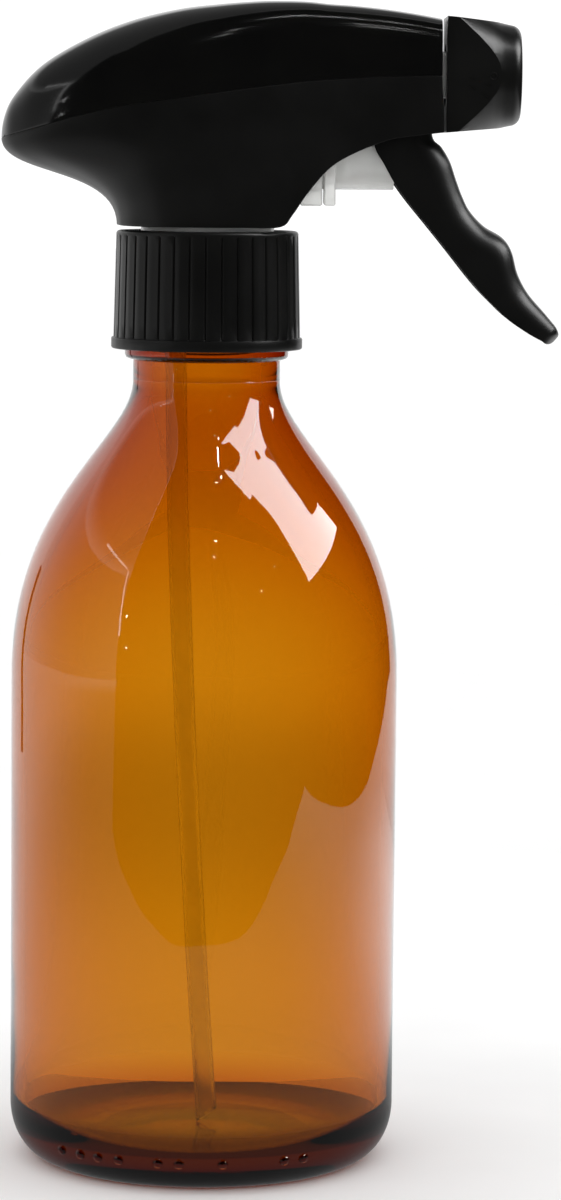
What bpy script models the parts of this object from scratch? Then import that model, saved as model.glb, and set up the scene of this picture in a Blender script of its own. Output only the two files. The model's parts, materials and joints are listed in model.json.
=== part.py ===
"""Amber glass bottle with a black trigger sprayer, as separate pieces.

Metres, +Z up. The sprayer sprays along +X. The origin is on the ground, below the middle of the
object's box, so the bottle's own axis stands at BOTTLE_X. Every piece is drawn from the bottle's
axis at floor height, and an empty there carries the whole object to its place.
"""

import math

import bmesh
import bpy
from mathutils import Matrix, Vector

MM = 0.001
GAP = 0.3 * MM

# Where the bottle's axis stands, left of the middle of the object's box.
BOTTLE_X = -12.35 * MM

# Bottle.
BOTTLE_R = 32.5 * MM
BOTTLE_H = 152.6 * MM
GLASS_WALL = 2.3 * MM
FLOOR_TOP = 4.6 * MM
PUSH_UP = 2.2 * MM
FOOT_R = 26.0 * MM
FOOT_INNER_R = 23.5 * MM
HEEL_H = 9.0 * MM
SHOULDER_FOOT = 82.0 * MM
SHOULDER_TOP = 131.5 * MM
NECK_R = 12.3 * MM
MOUTH_R = 9.2 * MM
RING_R = 13.7 * MM
RING_LOW = 134.9 * MM
RING_HIGH = 137.3 * MM

# Screw thread of the neck and the closure, right-handed.
PITCH = 25.4 / 6 * MM
THREAD_TURNS = 1.25
NECK_THREAD_R = 13.5 * MM
NECK_THREAD_START = 144.2 * MM
CLOSURE_THREAD_R = 12.75 * MM
THREAD_STEPS = 24

# Closure.
CLOSURE_LOW = 136.8 * MM
CLOSURE_HIGH = 156.7 * MM
CLOSURE_LEDGE = 155.2 * MM
CLOSURE_BORE_R = 13.95 * MM
CLOSURE_HOLE_R = 11.5 * MM
CLOSURE_FLANGE_R = 15.98 * MM
CLOSURE_FLANGE_TOP = 138.7 * MM
CLOSURE_FOOT_R = 15.6 * MM
CLOSURE_TOP_R = 15.2 * MM
RIB_COUNT = 36

# Sprayer body.
COLLAR_R = 11.1 * MM
BODY_FLANGE_R = 13.3 * MM
BODY_FLANGE_LOW = 154.0 * MM
COLLAR_TOP = 158.0 * MM
INLET_X = -5.3 * MM
SPRAY_Z = 182.5 * MM
BARREL_R = 4.7 * MM
BARREL_BORE_R = 2.6 * MM
BARREL_SHOULDER_X = 38.2 * MM
BARREL_TIP_R = 3.9 * MM
BARREL_TIP_X = 46.6 * MM

# Pump.
PUMP_Z = 170.2 * MM
SOCKET_R = 8.3 * MM
SOCKET_HOLE_R = 6.9 * MM
SOCKET_FLOOR_X = 10.5 * MM
BLOCK_BACK_X = 15.4 * MM
BLOCK_FRONT_X = 19.0 * MM
BLOCK_HALF_WIDTH = 8.6 * MM
BLOCK_LOW = 160.8 * MM
PUMP_FLANGE_TOP = 177.4 * MM
PUMP_FLANGE_FRONT_X = 21.2 * MM
PUMP_BACK_X = 12.0 * MM
PUMP_FRONT_X = 30.9 * MM
PUMP_R = 6.8 * MM
PUMP_BORE_R = 5.8 * MM

# Trigger, turning about a pin across the barrel.
PIVOT_X = 32.6 * MM
PIVOT_Z = 183.0 * MM
TRIGGER_SWING = math.radians(22)
PUSH_ARM = 12.9 * MM
PUSH_NOSE_R = 1.2 * MM
TRIGGER_HALF_WIDTH = 8.4 * MM
TRIGGER_HALF_INSIDE = 7.2 * MM
TRUNNION_R = 1.5 * MM

# Nozzle.
NOZZLE_BACK_X = 39.3 * MM
NOZZLE_FRONT_X = 51.8 * MM
NOZZLE_HALF_BACK = 9.5 * MM
NOZZLE_HALF_FRONT = 8.3 * MM
NOZZLE_BORE_R = 5.3 * MM
INSERT_HOLE_R = 3.3 * MM

# Shrouds.
SHROUD_WALL = 1.2 * MM
SEAM = 0.15 * MM

AMBER = "B5680A"
BLACK = "141414"
SATIN_BLACK = "1B1B1B"
NATURAL = "D9DCD8"
STEEL = "A9ABAE"
RUBBER = "202020"


def clear_scene():
    for old in list(bpy.data.objects):
        bpy.data.objects.remove(old, do_unlink=True)


def linear(hex_colour):
    values = [int(hex_colour[i : i + 2], 16) / 255 for i in (0, 2, 4)]
    return [v / 12.92 if v <= 0.04045 else ((v + 0.055) / 1.055) ** 2.4 for v in values] + [1.0]


def finish(name, hex_colour, roughness, metallic=0.0):
    made = bpy.data.materials.new(name)
    made.use_nodes = True
    shader = made.node_tree.nodes["Principled BSDF"]
    shader.inputs["Base Color"].default_value = linear(hex_colour)
    shader.inputs["Roughness"].default_value = roughness
    shader.inputs["Metallic"].default_value = metallic
    made.diffuse_color = linear(hex_colour)
    return made


def collection(name):
    made = bpy.data.collections.new(name)
    bpy.context.scene.collection.children.link(made)
    return made


clear_scene()
PIECES = collection("spray_bottle")
CUTTERS = collection("cutters")


def axis_empty(name, x, z, parent=None):
    """An empty on a joint's axis, which the moving pieces are parented to."""
    made = bpy.data.objects.new(name, None)
    PIECES.objects.link(made)
    base = parent_origin(parent)
    made.location = Vector((x, 0, z)) - base
    made.parent = parent
    return made


def parent_origin(parent):
    """Where a parent stands, counted from the bottle's axis at the floor."""
    place = Vector((0, 0, 0))
    while parent is not None and parent.parent is not None:
        place += parent.location
        parent = parent.parent
    return place


def settle(piece, parent, material):
    """Hang a piece drawn from the bottle's axis on its parent, and give it its finish."""
    piece.location -= parent_origin(parent)
    piece.parent = parent
    piece.data.materials.clear()
    piece.data.materials.append(material)
    return piece


def new_object(name, mesh, group):
    made = bpy.data.objects.new(name, mesh)
    group.objects.link(made)
    if group is CUTTERS:
        made.hide_render = True
        made.display_type = "WIRE"
    return made


def mesh_object(name, build, group):
    """A mesh object whose shape comes from a bmesh that build fills."""
    shape = bmesh.new()
    build(shape)
    bmesh.ops.recalc_face_normals(shape, faces=shape.faces)
    mesh = bpy.data.meshes.new(name)
    shape.to_mesh(mesh)
    shape.free()
    mesh.shade_smooth()
    mesh.set_sharp_from_angle(angle=math.radians(35))
    return new_object(name, mesh, group)


def box(name, low, high, group=None):
    low, high = Vector(low), Vector(high)
    middle = Matrix.Translation((low + high) / 2)
    size = Matrix.Diagonal((*(high - low), 1))

    def build(shape):
        bmesh.ops.create_cube(shape, size=1, matrix=middle @ size)

    return mesh_object(name, build, group or CUTTERS)


def rod(name, start, end, radius, sides=24, end_radius=None, group=None):
    """A cylinder, or a cone frustum, between two points."""
    start, end = Vector(start), Vector(end)
    along = end - start
    turn = along.to_track_quat("Z", "Y").to_matrix().to_4x4()
    place = Matrix.Translation((start + end) / 2) @ turn

    def build(shape):
        bmesh.ops.create_cone(
            shape,
            cap_ends=True,
            segments=sides,
            radius1=radius,
            radius2=radius if end_radius is None else end_radius,
            depth=along.length,
            matrix=place,
        )

    return mesh_object(name, build, group or CUTTERS)


def turned(name, profile, steps=36, x=0.0, z=0.0, along_x=False, group=None):
    """A Screw of (radius, height) points, listed down the outer side, about Z or along +X.

    A profile that starts and ends on the axis is left open, and any other one is closed.
    """
    mesh = bpy.data.meshes.new(name)
    points = [(radius, 0, height) for radius, height in profile]
    count = len(points)
    edges = [(i, i + 1) for i in range(count - 1)]
    if profile[0][0] > 0 or profile[-1][0] > 0:
        edges.append((count - 1, 0))
    mesh.from_pydata(points, edges, [])
    made = new_object(name, mesh, group or PIECES)
    made.location = (x, 0, z)
    if along_x:
        made.rotation_euler = (0, math.pi / 2, 0)
    screw = made.modifiers.new("turn", "SCREW")
    screw.steps = screw.render_steps = steps
    screw.use_merge_vertices = True
    screw.merge_threshold = 0.00001
    return made


def plate(name, outline, half_thickness, group=None):
    """A flat outline in X and Z, extruded both ways along Y, as a mesh."""
    curve = bpy.data.curves.new(name + "_outline", "CURVE")
    curve.dimensions = "2D"
    curve.fill_mode = "BOTH"
    curve.extrude = half_thickness
    spline = curve.splines.new("POLY")
    spline.points.add(len(outline) - 1)
    for point, (x, z) in zip(spline.points, outline):
        point.co = (x, z, 0, 1)
    spline.use_cyclic_u = True
    source = bpy.data.objects.new(name + "_curve", curve)
    source.rotation_euler = (math.pi / 2, 0, 0)
    return curve_to_mesh(name, source, group or CUTTERS)


def pipe(name, points, radius, bevel_resolution=2, group=None):
    """A round rod along a list of points, as a mesh."""
    curve = bpy.data.curves.new(name + "_path", "CURVE")
    curve.dimensions = "3D"
    curve.bevel_depth = radius
    curve.bevel_resolution = bevel_resolution
    curve.use_fill_caps = True
    spline = curve.splines.new("POLY")
    spline.points.add(len(points) - 1)
    for point, place in zip(spline.points, points):
        point.co = (*place, 1)
    return curve_to_mesh(name, bpy.data.objects.new(name + "_curve", curve), group or CUTTERS)


def curve_to_mesh(name, source, group):
    PIECES.objects.link(source)
    bpy.context.view_layer.update()
    evaluated = source.evaluated_get(bpy.context.evaluated_depsgraph_get())
    mesh = bpy.data.meshes.new_from_object(evaluated)
    mesh.transform(source.matrix_world)
    shape = bmesh.new()
    shape.from_mesh(mesh)
    bmesh.ops.remove_doubles(shape, verts=shape.verts, dist=0.00001)
    bmesh.ops.recalc_face_normals(shape, faces=shape.faces)
    shape.to_mesh(mesh)
    shape.free()
    bpy.data.objects.remove(source)
    return new_object(name, mesh, group)


def combine(piece, operation, others):
    for other in others:
        modifier = piece.modifiers.new(other.name, "BOOLEAN")
        modifier.operation = operation
        modifier.object = other
    return piece


def cubic(corners, t):
    """The point at t, from 0 to 1, of the cubic curve with these four control points."""
    weights = ((1 - t) ** 3, 3 * t * (1 - t) ** 2, 3 * t * t * (1 - t), t**3)
    return tuple(sum(w * c[k] for w, c in zip(weights, corners)) for k in range(len(corners[0])))


def bezier(start, first, second, end, steps):
    """Points of a cubic curve, its two ends among them."""
    return [cubic((start, first, second, end), i / steps) for i in range(steps + 1)]


def arc(centre, radii, start_degrees, end_degrees, steps):
    """Points of a circle's or an ellipse's arc."""
    points = []
    for i in range(steps + 1):
        angle = math.radians(start_degrees + (end_degrees - start_degrees) * i / steps)
        points.append(
            (centre[0] + radii[0] * math.cos(angle), centre[1] + radii[1] * math.sin(angle))
        )
    return points


def thread_ridge(name, root_r, crest_r, root_half, crest_half, start_z):
    """A helical ridge of trapezoid section that fades out at both ends."""
    steps = int(THREAD_STEPS * THREAD_TURNS)
    fade = 4

    def build(shape):
        rings = []
        for i in range(steps + 1):
            angle = 2 * math.pi * i / THREAD_STEPS
            z = start_z + PITCH * i / THREAD_STEPS
            strength = min(1, (i + 0.4) / fade, (steps - i + 0.4) / fade)
            crest = root_r + (crest_r - root_r) * strength
            section = (
                (root_r, z - root_half),
                (crest, z - crest_half),
                (crest, z + crest_half),
                (root_r, z + root_half),
            )
            rings.append(
                [
                    shape.verts.new((r * math.cos(angle), r * math.sin(angle), height))
                    for r, height in section
                ]
            )
        for ring, following in zip(rings, rings[1:]):
            for k in range(4):
                shape.faces.new(
                    (ring[k], ring[(k + 1) % 4], following[(k + 1) % 4], following[k])
                )
        shape.faces.new(rings[0])
        shape.faces.new(rings[-1])

    made = mesh_object(name, build, CUTTERS)
    # Turned off the walls' own facets, so that no edges coincide.
    made.rotation_euler = (0, 0, math.radians(3))
    return made


def make_bottle(parent, glass):
    wall = GLASS_WALL
    outside = [(NECK_R - 0.5 * MM, BOTTLE_H), (NECK_R, BOTTLE_H - 0.5 * MM)]
    outside += [(NECK_R, RING_HIGH + 1.2 * MM), (RING_R, RING_HIGH), (RING_R, RING_LOW + 0.4 * MM)]
    outside += [(NECK_R, RING_LOW)]
    outside += bezier(
        (NECK_R, SHOULDER_TOP),
        (NECK_R, SHOULDER_TOP - 10 * MM),
        (BOTTLE_R, SHOULDER_FOOT + 30 * MM),
        (BOTTLE_R, SHOULDER_FOOT),
        9,
    )
    outside += arc((FOOT_R, HEEL_H), (BOTTLE_R - FOOT_R, HEEL_H), 0, -90, 5)
    outside += [(FOOT_INNER_R, 0), (FOOT_INNER_R - 2 * MM, PUSH_UP * 0.7), (0, PUSH_UP)]
    inside_r = BOTTLE_R - wall
    floor_curve_r = 24 * MM
    inside = [(0, FLOOR_TOP), (floor_curve_r - 6 * MM, FLOOR_TOP)]
    inside += arc((floor_curve_r, 13 * MM), (inside_r - floor_curve_r, 7.5 * MM), -70, 0, 3)
    shoulder = bezier(
        (MOUTH_R, SHOULDER_TOP - 3 * MM),
        (MOUTH_R, SHOULDER_TOP - 12.5 * MM),
        (inside_r, SHOULDER_FOOT + 27 * MM),
        (inside_r, SHOULDER_FOOT),
        7,
    )
    inside += shoulder[::-1]
    inside += [(MOUTH_R, BOTTLE_H - 0.4 * MM), (MOUTH_R + 0.4 * MM, BOTTLE_H)]
    bottle = turned("bottle", outside + inside, steps=32)
    close_on_axis(bottle, len(outside))
    ridge = thread_ridge(
        "neck_thread", NECK_R - 0.4 * MM, NECK_THREAD_R, 1.15 * MM, 0.6 * MM, NECK_THREAD_START
    )
    combine(bottle, "UNION", [ridge])
    return settle(bottle, parent, glass)


def close_on_axis(piece, break_index):
    """Redraw a profile that leaves the axis and comes back to it, without the edge along it."""
    points = [tuple(v.co) for v in piece.data.vertices]
    count = len(points)
    order = [(i + break_index) % count for i in range(count)]
    edges = [(order[i], order[i + 1]) for i in range(count - 1)]
    piece.data.clear_geometry()
    piece.data.from_pydata(points, edges, [])


def make_closure(parent, black):
    profile = [
        (CLOSURE_HOLE_R, CLOSURE_HIGH),
        (CLOSURE_TOP_R - 0.9 * MM, CLOSURE_HIGH),
        (CLOSURE_TOP_R - 0.1 * MM, CLOSURE_HIGH - 0.9 * MM),
        (CLOSURE_TOP_R, CLOSURE_HIGH - 1.8 * MM),
        (CLOSURE_FOOT_R, CLOSURE_FLANGE_TOP + 0.5 * MM),
        (CLOSURE_FLANGE_R, CLOSURE_FLANGE_TOP),
        (CLOSURE_FLANGE_R, CLOSURE_LOW),
        (CLOSURE_BORE_R + 0.4 * MM, CLOSURE_LOW),
        (CLOSURE_BORE_R, CLOSURE_LOW + 0.6 * MM),
        (CLOSURE_BORE_R, CLOSURE_LEDGE),
        (CLOSURE_HOLE_R, CLOSURE_LEDGE),
    ]
    closure = turned("closure", profile, steps=RIB_COUNT)
    ridge = thread_ridge(
        "closure_thread",
        CLOSURE_BORE_R + 0.4 * MM,
        CLOSURE_THREAD_R,
        0.85 * MM,
        0.4 * MM,
        NECK_THREAD_START - PITCH / 2,
    )
    combine(closure, "UNION", [ridge])
    return settle(closure, parent, black)


def ring(name, inner_r, outer_r, low, high, steps, **place):
    """A flat washer."""
    profile = [(inner_r, high), (outer_r, high), (outer_r, low), (inner_r, low)]
    return turned(name, profile, steps=steps, **place)


def make_closure_liner(parent, foam):
    liner = ring("closure_liner", 9.6 * MM, 13.2 * MM, 152.9 * MM, 153.7 * MM, 36)
    return settle(liner, parent, foam)


def make_tube_retainer(parent, natural):
    x = INLET_X
    retainer = ring("tube_retainer", 0, 8.7 * MM, 152.4 * MM, 153.6 * MM, 32)
    boss = rod("retainer_boss", (x, 0, 143 * MM), (x, 0, 152.6 * MM), 3.2 * MM)
    spigot = rod("retainer_spigot", (x, 0, 153.3 * MM), (x, 0, 158.5 * MM), 3.3 * MM)
    tube_hole = rod("retainer_tube_hole", (x, 0, 142 * MM), (x, 0, 152 * MM), 2.1 * MM)
    passage = rod("retainer_passage", (x, 0, 151 * MM), (x, 0, 160 * MM), 1.0 * MM, sides=16)
    combine(retainer, "UNION", [boss, spigot])
    combine(retainer, "DIFFERENCE", [tube_hole, passage])
    return settle(retainer, parent, natural)


def dip_tube_path(extra=0.0):
    """The tube leans and bows a little from the retainer to the bottle's floor."""
    top = (INLET_X, 0, 151.7 * MM + extra)
    bottom = (0.9 * MM, 0, 5.4 * MM - extra)
    return bezier(
        top, (INLET_X, 0, 110 * MM), (-2.5 * MM, 0, 50 * MM), bottom, 10
    )


def make_dip_tube(parent, natural):
    tube = pipe("dip_tube", dip_tube_path(), 1.8 * MM, group=PIECES)
    bore = pipe("dip_tube_bore", dip_tube_path(extra=1 * MM), 1.2 * MM)
    low = Vector((0.9 * MM, 0, 5.4 * MM))
    wedge = box("dip_tube_cut", (-6 * MM, -6 * MM, -8 * MM), (6 * MM, 6 * MM, 0))
    wedge.location = low + Vector((0, 0, 1.3 * MM))
    wedge.rotation_euler = (0, math.radians(-32), 0)
    combine(tube, "DIFFERENCE", [bore, wedge])
    return settle(tube, parent, natural)


def make_sprayer_body(parent, natural):
    x = INLET_X
    collar_profile = [
        (0, COLLAR_TOP),
        (COLLAR_R, COLLAR_TOP),
        (COLLAR_R, BODY_FLANGE_LOW + 0.9 * MM),
        (BODY_FLANGE_R, BODY_FLANGE_LOW + 0.9 * MM),
        (BODY_FLANGE_R, BODY_FLANGE_LOW),
        (0, BODY_FLANGE_LOW),
    ]
    body = turned("sprayer_body", collar_profile, steps=36)
    column = rod("body_column", (x, 0, COLLAR_TOP - 1 * MM), (x, 0, SPRAY_Z), 4.6 * MM)
    barrel = turned(
        "body_barrel",
        [
            (0, BARREL_TIP_X),
            (BARREL_TIP_R, BARREL_TIP_X),
            (BARREL_TIP_R, BARREL_SHOULDER_X),
            (BARREL_R, BARREL_SHOULDER_X),
            (BARREL_R, -10.2 * MM),
            (0, -10.2 * MM),
        ],
        steps=24,
        z=SPRAY_Z,
        along_x=True,
        group=CUTTERS,
    )
    socket = rod("body_socket", (x, 0, PUMP_Z), (BLOCK_BACK_X + 1 * MM, 0, PUMP_Z), SOCKET_R)
    block = box(
        "body_block",
        (BLOCK_BACK_X, -BLOCK_HALF_WIDTH, BLOCK_LOW),
        (BLOCK_FRONT_X, BLOCK_HALF_WIDTH, PUMP_FLANGE_TOP + 1.5 * MM),
    )
    ears = box(
        "body_ears",
        (PIVOT_X - 3.6 * MM, -6.9 * MM, PIVOT_Z - 3.1 * MM),
        (PIVOT_X + 3.4 * MM, 6.9 * MM, PIVOT_Z + 2.9 * MM),
    )
    web_outline = [
        (-10.5 * MM, 157.6 * MM),
        (11 * MM, 157.6 * MM),
        (14 * MM, 161.5 * MM),
        (14 * MM, 180 * MM),
        (27 * MM, 183 * MM),
        (27 * MM, 190.9 * MM),
        (16 * MM, 191.9 * MM),
        (4 * MM, 191.4 * MM),
        (-6 * MM, 189.6 * MM),
        (-10.5 * MM, 186 * MM),
    ]
    web = plate("body_web", web_outline, 0.8 * MM)
    combine(body, "UNION", [column, barrel, socket, block, ears, web])

    pivots = []
    for side in (-1, 1):
        pivots.append(
            rod(
                f"pivot_hole_{'left' if side > 0 else 'right'}",
                (PIVOT_X, side * 5.1 * MM, PIVOT_Z),
                (PIVOT_X, side * 8 * MM, PIVOT_Z),
                TRUNNION_R + GAP,
                sides=16,
            )
        )
    cuts = [
        rod("retainer_socket", (x, 0, 153 * MM), (x, 0, 159.5 * MM), 3.6 * MM),
        rod("ball_chamber", (x, 0, 159 * MM), (x, 0, 164 * MM), 2.3 * MM, sides=20),
        rod("column_bore", (x, 0, 163 * MM), (x, 0, SPRAY_Z), 1.6 * MM, sides=16),
        rod("pump_port", (x, 0, PUMP_Z), (11 * MM, 0, PUMP_Z), 1.2 * MM, sides=12),
        rod("pump_socket", (SOCKET_FLOOR_X, 0, PUMP_Z), (20 * MM, 0, PUMP_Z), SOCKET_HOLE_R, 32),
        rod("barrel_bore", (x - 1.5 * MM, 0, SPRAY_Z), (48 * MM, 0, SPRAY_Z), BARREL_BORE_R, 20),
    ]
    combine(body, "DIFFERENCE", cuts + pivots)
    return settle(body, parent, natural)


def make_pump_cylinder(parent, natural):
    profile = [
        (PUMP_BORE_R, PUMP_FRONT_X),
        (PUMP_R, PUMP_FRONT_X),
        (PUMP_R, BLOCK_FRONT_X + GAP),
        (PUMP_R - 0.2 * MM, BLOCK_FRONT_X),
        (PUMP_R - 0.2 * MM, PUMP_BACK_X),
        (1.2 * MM, PUMP_BACK_X),
        (1.2 * MM, PUMP_BACK_X + 1.2 * MM),
        (PUMP_BORE_R, PUMP_BACK_X + 1.2 * MM),
    ]
    cylinder = turned("pump_cylinder", profile, steps=32, z=PUMP_Z, along_x=True)
    flange = box(
        "pump_flange",
        (BLOCK_FRONT_X + GAP, -BLOCK_HALF_WIDTH, BLOCK_LOW + 0.05 * MM),
        (PUMP_FLANGE_FRONT_X, BLOCK_HALF_WIDTH, PUMP_FLANGE_TOP),
    )
    reamer = rod("pump_reamer", (18 * MM, 0, PUMP_Z), (23 * MM, 0, PUMP_Z), PUMP_R - 0.4 * MM, 32)
    combine(flange, "DIFFERENCE", [reamer])
    combine(cylinder, "UNION", [flange])
    return settle(cylinder, parent, natural)


def make_cylinder_seal(parent, rubber):
    seal = ring(
        "cylinder_seal", 3 * MM, 6.4 * MM, 10.8 * MM, 11.7 * MM, 24, z=PUMP_Z, along_x=True
    )
    return settle(seal, parent, rubber)


def make_inlet_ball(parent, steel):
    radius = 1.75 * MM

    def build(shape):
        bmesh.ops.create_uvsphere(shape, u_segments=16, v_segments=10, radius=radius)

    ball = mesh_object("inlet_ball", build, PIECES)
    ball.location = (INLET_X, 0, 160.2 * MM)
    return settle(ball, parent, steel)


def make_piston_cup(parent, rubber):
    lip_r = PUMP_BORE_R - GAP
    profile = [
        (2.1 * MM, 28.0 * MM),
        (lip_r, 28.0 * MM),
        (lip_r - 0.5 * MM, 27.2 * MM),
        (lip_r - 0.5 * MM, 25.0 * MM),
        (lip_r, 23.8 * MM),
        (4.8 * MM, 23.8 * MM),
        (4.6 * MM, 26.3 * MM),
        (2.1 * MM, 26.3 * MM),
    ]
    cup = turned("piston_cup", profile, steps=24, z=PUMP_Z, along_x=True)
    return settle(cup, parent, rubber)


def push_nose():
    """The middle of the trigger's pushing nose at rest."""
    angle = TRIGGER_SWING / 2
    return PIVOT_X + PUSH_ARM * math.sin(angle), PIVOT_Z - PUSH_ARM * math.cos(angle)


def make_piston_rod(parent, natural):
    head_x = push_nose()[0] - PUSH_NOSE_R - GAP
    profile = [
        (0, head_x),
        (3.4 * MM, head_x),
        (3.4 * MM, head_x - 1.2 * MM),
        (2.6 * MM, head_x - 1.2 * MM),
        (2.6 * MM, 28.3 * MM),
        (1.8 * MM, 28.3 * MM),
        (1.8 * MM, 26.5 * MM),
        (0, 26.5 * MM),
    ]
    piston = turned("piston_rod", profile, steps=24, z=PUMP_Z, along_x=True)
    return settle(piston, parent, natural)


def make_return_spring(parent, steel):
    start, end, turns, per_turn = 14.0 * MM, 25.5 * MM, 5, 9
    points = []
    steps = int(turns * per_turn)
    for i in range(steps + 1):
        angle = 2 * math.pi * i / per_turn
        x = start + (end - start) * i / steps
        points.append((x, 4 * MM * math.cos(angle), PUMP_Z + 4 * MM * math.sin(angle)))
    spring = pipe("return_spring", points, 0.4 * MM, group=PIECES)
    return settle(spring, parent, steel)


# The trigger's outline from the side. Its back edge runs down, its front edge runs up.
TRIGGER_BACK = [
    (28.6, 180.5),
    (28.3, 176.0),
    (27.4, 170.9),
    (31.6, 163.5),
    (38.3, 155.3),
    (46.1, 145.7),
    (51.3, 141.1),
    (57.0, 138.0),
]
TRIGGER_FRONT = [
    (58.6, 138.6),
    (59.0, 139.65),
    (58.6, 140.7),
    (53.5, 146.5),
    (51.7, 149.8),
    (50.6, 153.65),
    (49.3, 155.6),
    (45.95, 157.65),
    (43.4, 160.4),
    (41.3, 165.2),
    (40.2, 168.3),
    (38.65, 170.8),
    (37.3, 171.9),
    (37.0, 178.0),
    (36.2, 181.5),
]
# The hollow behind the trigger's front wall, open at the back and the top.
TRIGGER_HOLLOW = [
    (20, 190),
    (45, 190),
    (45, 174.6),
    (35.7, 174.6),
    (35.7, 171.4),
    (37.1, 170.2),
    (38.7, 167.6),
    (39.8, 164.6),
    (42.2, 159.4),
    (44.9, 156.4),
    (48.2, 154.2),
    (49.6, 150.4),
    (47.5, 146.6),
    (40, 150),
    (20, 150),
]


def in_metres(points):
    return [(x * MM, z * MM) for x, z in points]


def make_trigger(parent, black):
    boss = arc((PIVOT_X, PIVOT_Z), (3.2 * MM, 3.2 * MM), -10, 190, 8)
    outline = in_metres(TRIGGER_BACK) + in_metres(TRIGGER_FRONT) + boss
    trigger = plate("trigger", outline, TRIGGER_HALF_WIDTH, group=PIECES)
    hollow = plate("trigger_hollow", in_metres(TRIGGER_HOLLOW), TRIGGER_HALF_INSIDE)
    nose_x, nose_z = push_nose()
    arm = box(
        "pusher_arm",
        (nose_x, -2.5 * MM, nose_z - 0.8 * PUSH_NOSE_R),
        (38.0 * MM, 2.5 * MM, nose_z + 0.8 * PUSH_NOSE_R),
    )
    nose = rod(
        "pusher_nose",
        (nose_x, -2.45 * MM, nose_z),
        (nose_x, 2.45 * MM, nose_z),
        PUSH_NOSE_R,
        sides=16,
    )
    trunnions = []
    for side in (-1, 1):
        trunnions.append(
            rod(
                f"trunnion_{'left' if side > 0 else 'right'}",
                (PIVOT_X, side * 5.4 * MM, PIVOT_Z),
                (PIVOT_X, side * 7.8 * MM, PIVOT_Z),
                TRUNNION_R,
                sides=16,
            )
        )
    combine(trigger, "DIFFERENCE", [hollow])
    combine(trigger, "UNION", [arm, nose] + trunnions)
    return settle(trigger, parent, black)


def make_outlet_valve(parent, rubber):
    profile = [
        (0, 38.6 * MM),
        (0.9 * MM, 38.6 * MM),
        (0.9 * MM, 37.2 * MM),
        (2.2 * MM, 37.2 * MM),
        (2.2 * MM, 36.4 * MM),
        (0.8 * MM, 35.4 * MM),
        (0, 35.4 * MM),
    ]
    valve = turned("outlet_valve", profile, steps=20, z=SPRAY_Z, along_x=True)
    return settle(valve, parent, rubber)


def make_spinner(parent, natural):
    profile = [
        (0, 49.0 * MM),
        (3.4 * MM, 49.0 * MM),
        (3.4 * MM, 46.9 * MM),
        (2.3 * MM, 46.9 * MM),
        (2.3 * MM, 40.4 * MM),
        (0, 40.4 * MM),
    ]
    spinner = turned("spinner", profile, steps=24, z=SPRAY_Z, along_x=True)
    slots = []
    for i in range(3):
        slot = box(
            f"swirl_slot_{i + 1}", (48.3 * MM, 0.5 * MM, -0.4 * MM), (50 * MM, 5 * MM, 0.4 * MM)
        )
        slot.rotation_euler = (math.radians(120 * i), 0, 0)
        slot.location = (0, 0, SPRAY_Z)
        slots.append(slot)
    combine(spinner, "DIFFERENCE", slots)
    return settle(spinner, parent, natural)


def make_nozzle_seal(parent, rubber):
    section = arc((4.6 * MM, 43.0 * MM), (0.4 * MM, 0.4 * MM), 90, -210, 5)
    seal = turned("nozzle_seal", section, steps=20, z=SPRAY_Z, along_x=True)
    return settle(seal, parent, rubber)


def make_nozzle_cap(parent, black):
    """A rounded cone whose sides are planed to a tapering square."""
    profile = [
        (INSERT_HOLE_R, NOZZLE_FRONT_X),
        (5.0 * MM, NOZZLE_FRONT_X - 0.1 * MM),
        (6.6 * MM, NOZZLE_FRONT_X - 0.5 * MM),
        (7.7 * MM, NOZZLE_FRONT_X - 1.3 * MM),
        (8.3 * MM, NOZZLE_FRONT_X - 2.5 * MM),
        (8.65 * MM, NOZZLE_FRONT_X - 4.05 * MM),
        (13.0 * MM, 41.3 * MM),
        (12.3 * MM, NOZZLE_BACK_X),
        (NOZZLE_BORE_R, NOZZLE_BACK_X),
        (NOZZLE_BORE_R, 49.3 * MM),
        (INSERT_HOLE_R, 49.3 * MM),
    ]
    cap = turned("nozzle_cap", profile, steps=36, z=SPRAY_Z, along_x=True)
    prism = rod(
        "nozzle_prism",
        (NOZZLE_BACK_X - 1 * MM, 0, 0),
        (NOZZLE_FRONT_X + 1 * MM, 0, 0),
        (NOZZLE_HALF_BACK + 0.1 * MM) * math.sqrt(2),
        sides=4,
        end_radius=NOZZLE_HALF_FRONT * math.sqrt(2),
    )
    prism.rotation_euler = (math.radians(45), 0, 0)
    prism.location = (0, 0, SPRAY_Z)
    combine(cap, "INTERSECT", [prism])
    return settle(cap, parent, black)


def make_nozzle_insert(parent, black):
    profile = [
        (0.35 * MM, 50.9 * MM),
        (1.7 * MM, 51.6 * MM),
        (INSERT_HOLE_R - GAP, 51.6 * MM),
        (INSERT_HOLE_R - GAP, 49.4 * MM),
        (0.35 * MM, 49.4 * MM),
    ]
    insert = turned("nozzle_insert", profile, steps=24, z=SPRAY_Z, along_x=True)
    return settle(insert, parent, black)


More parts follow.
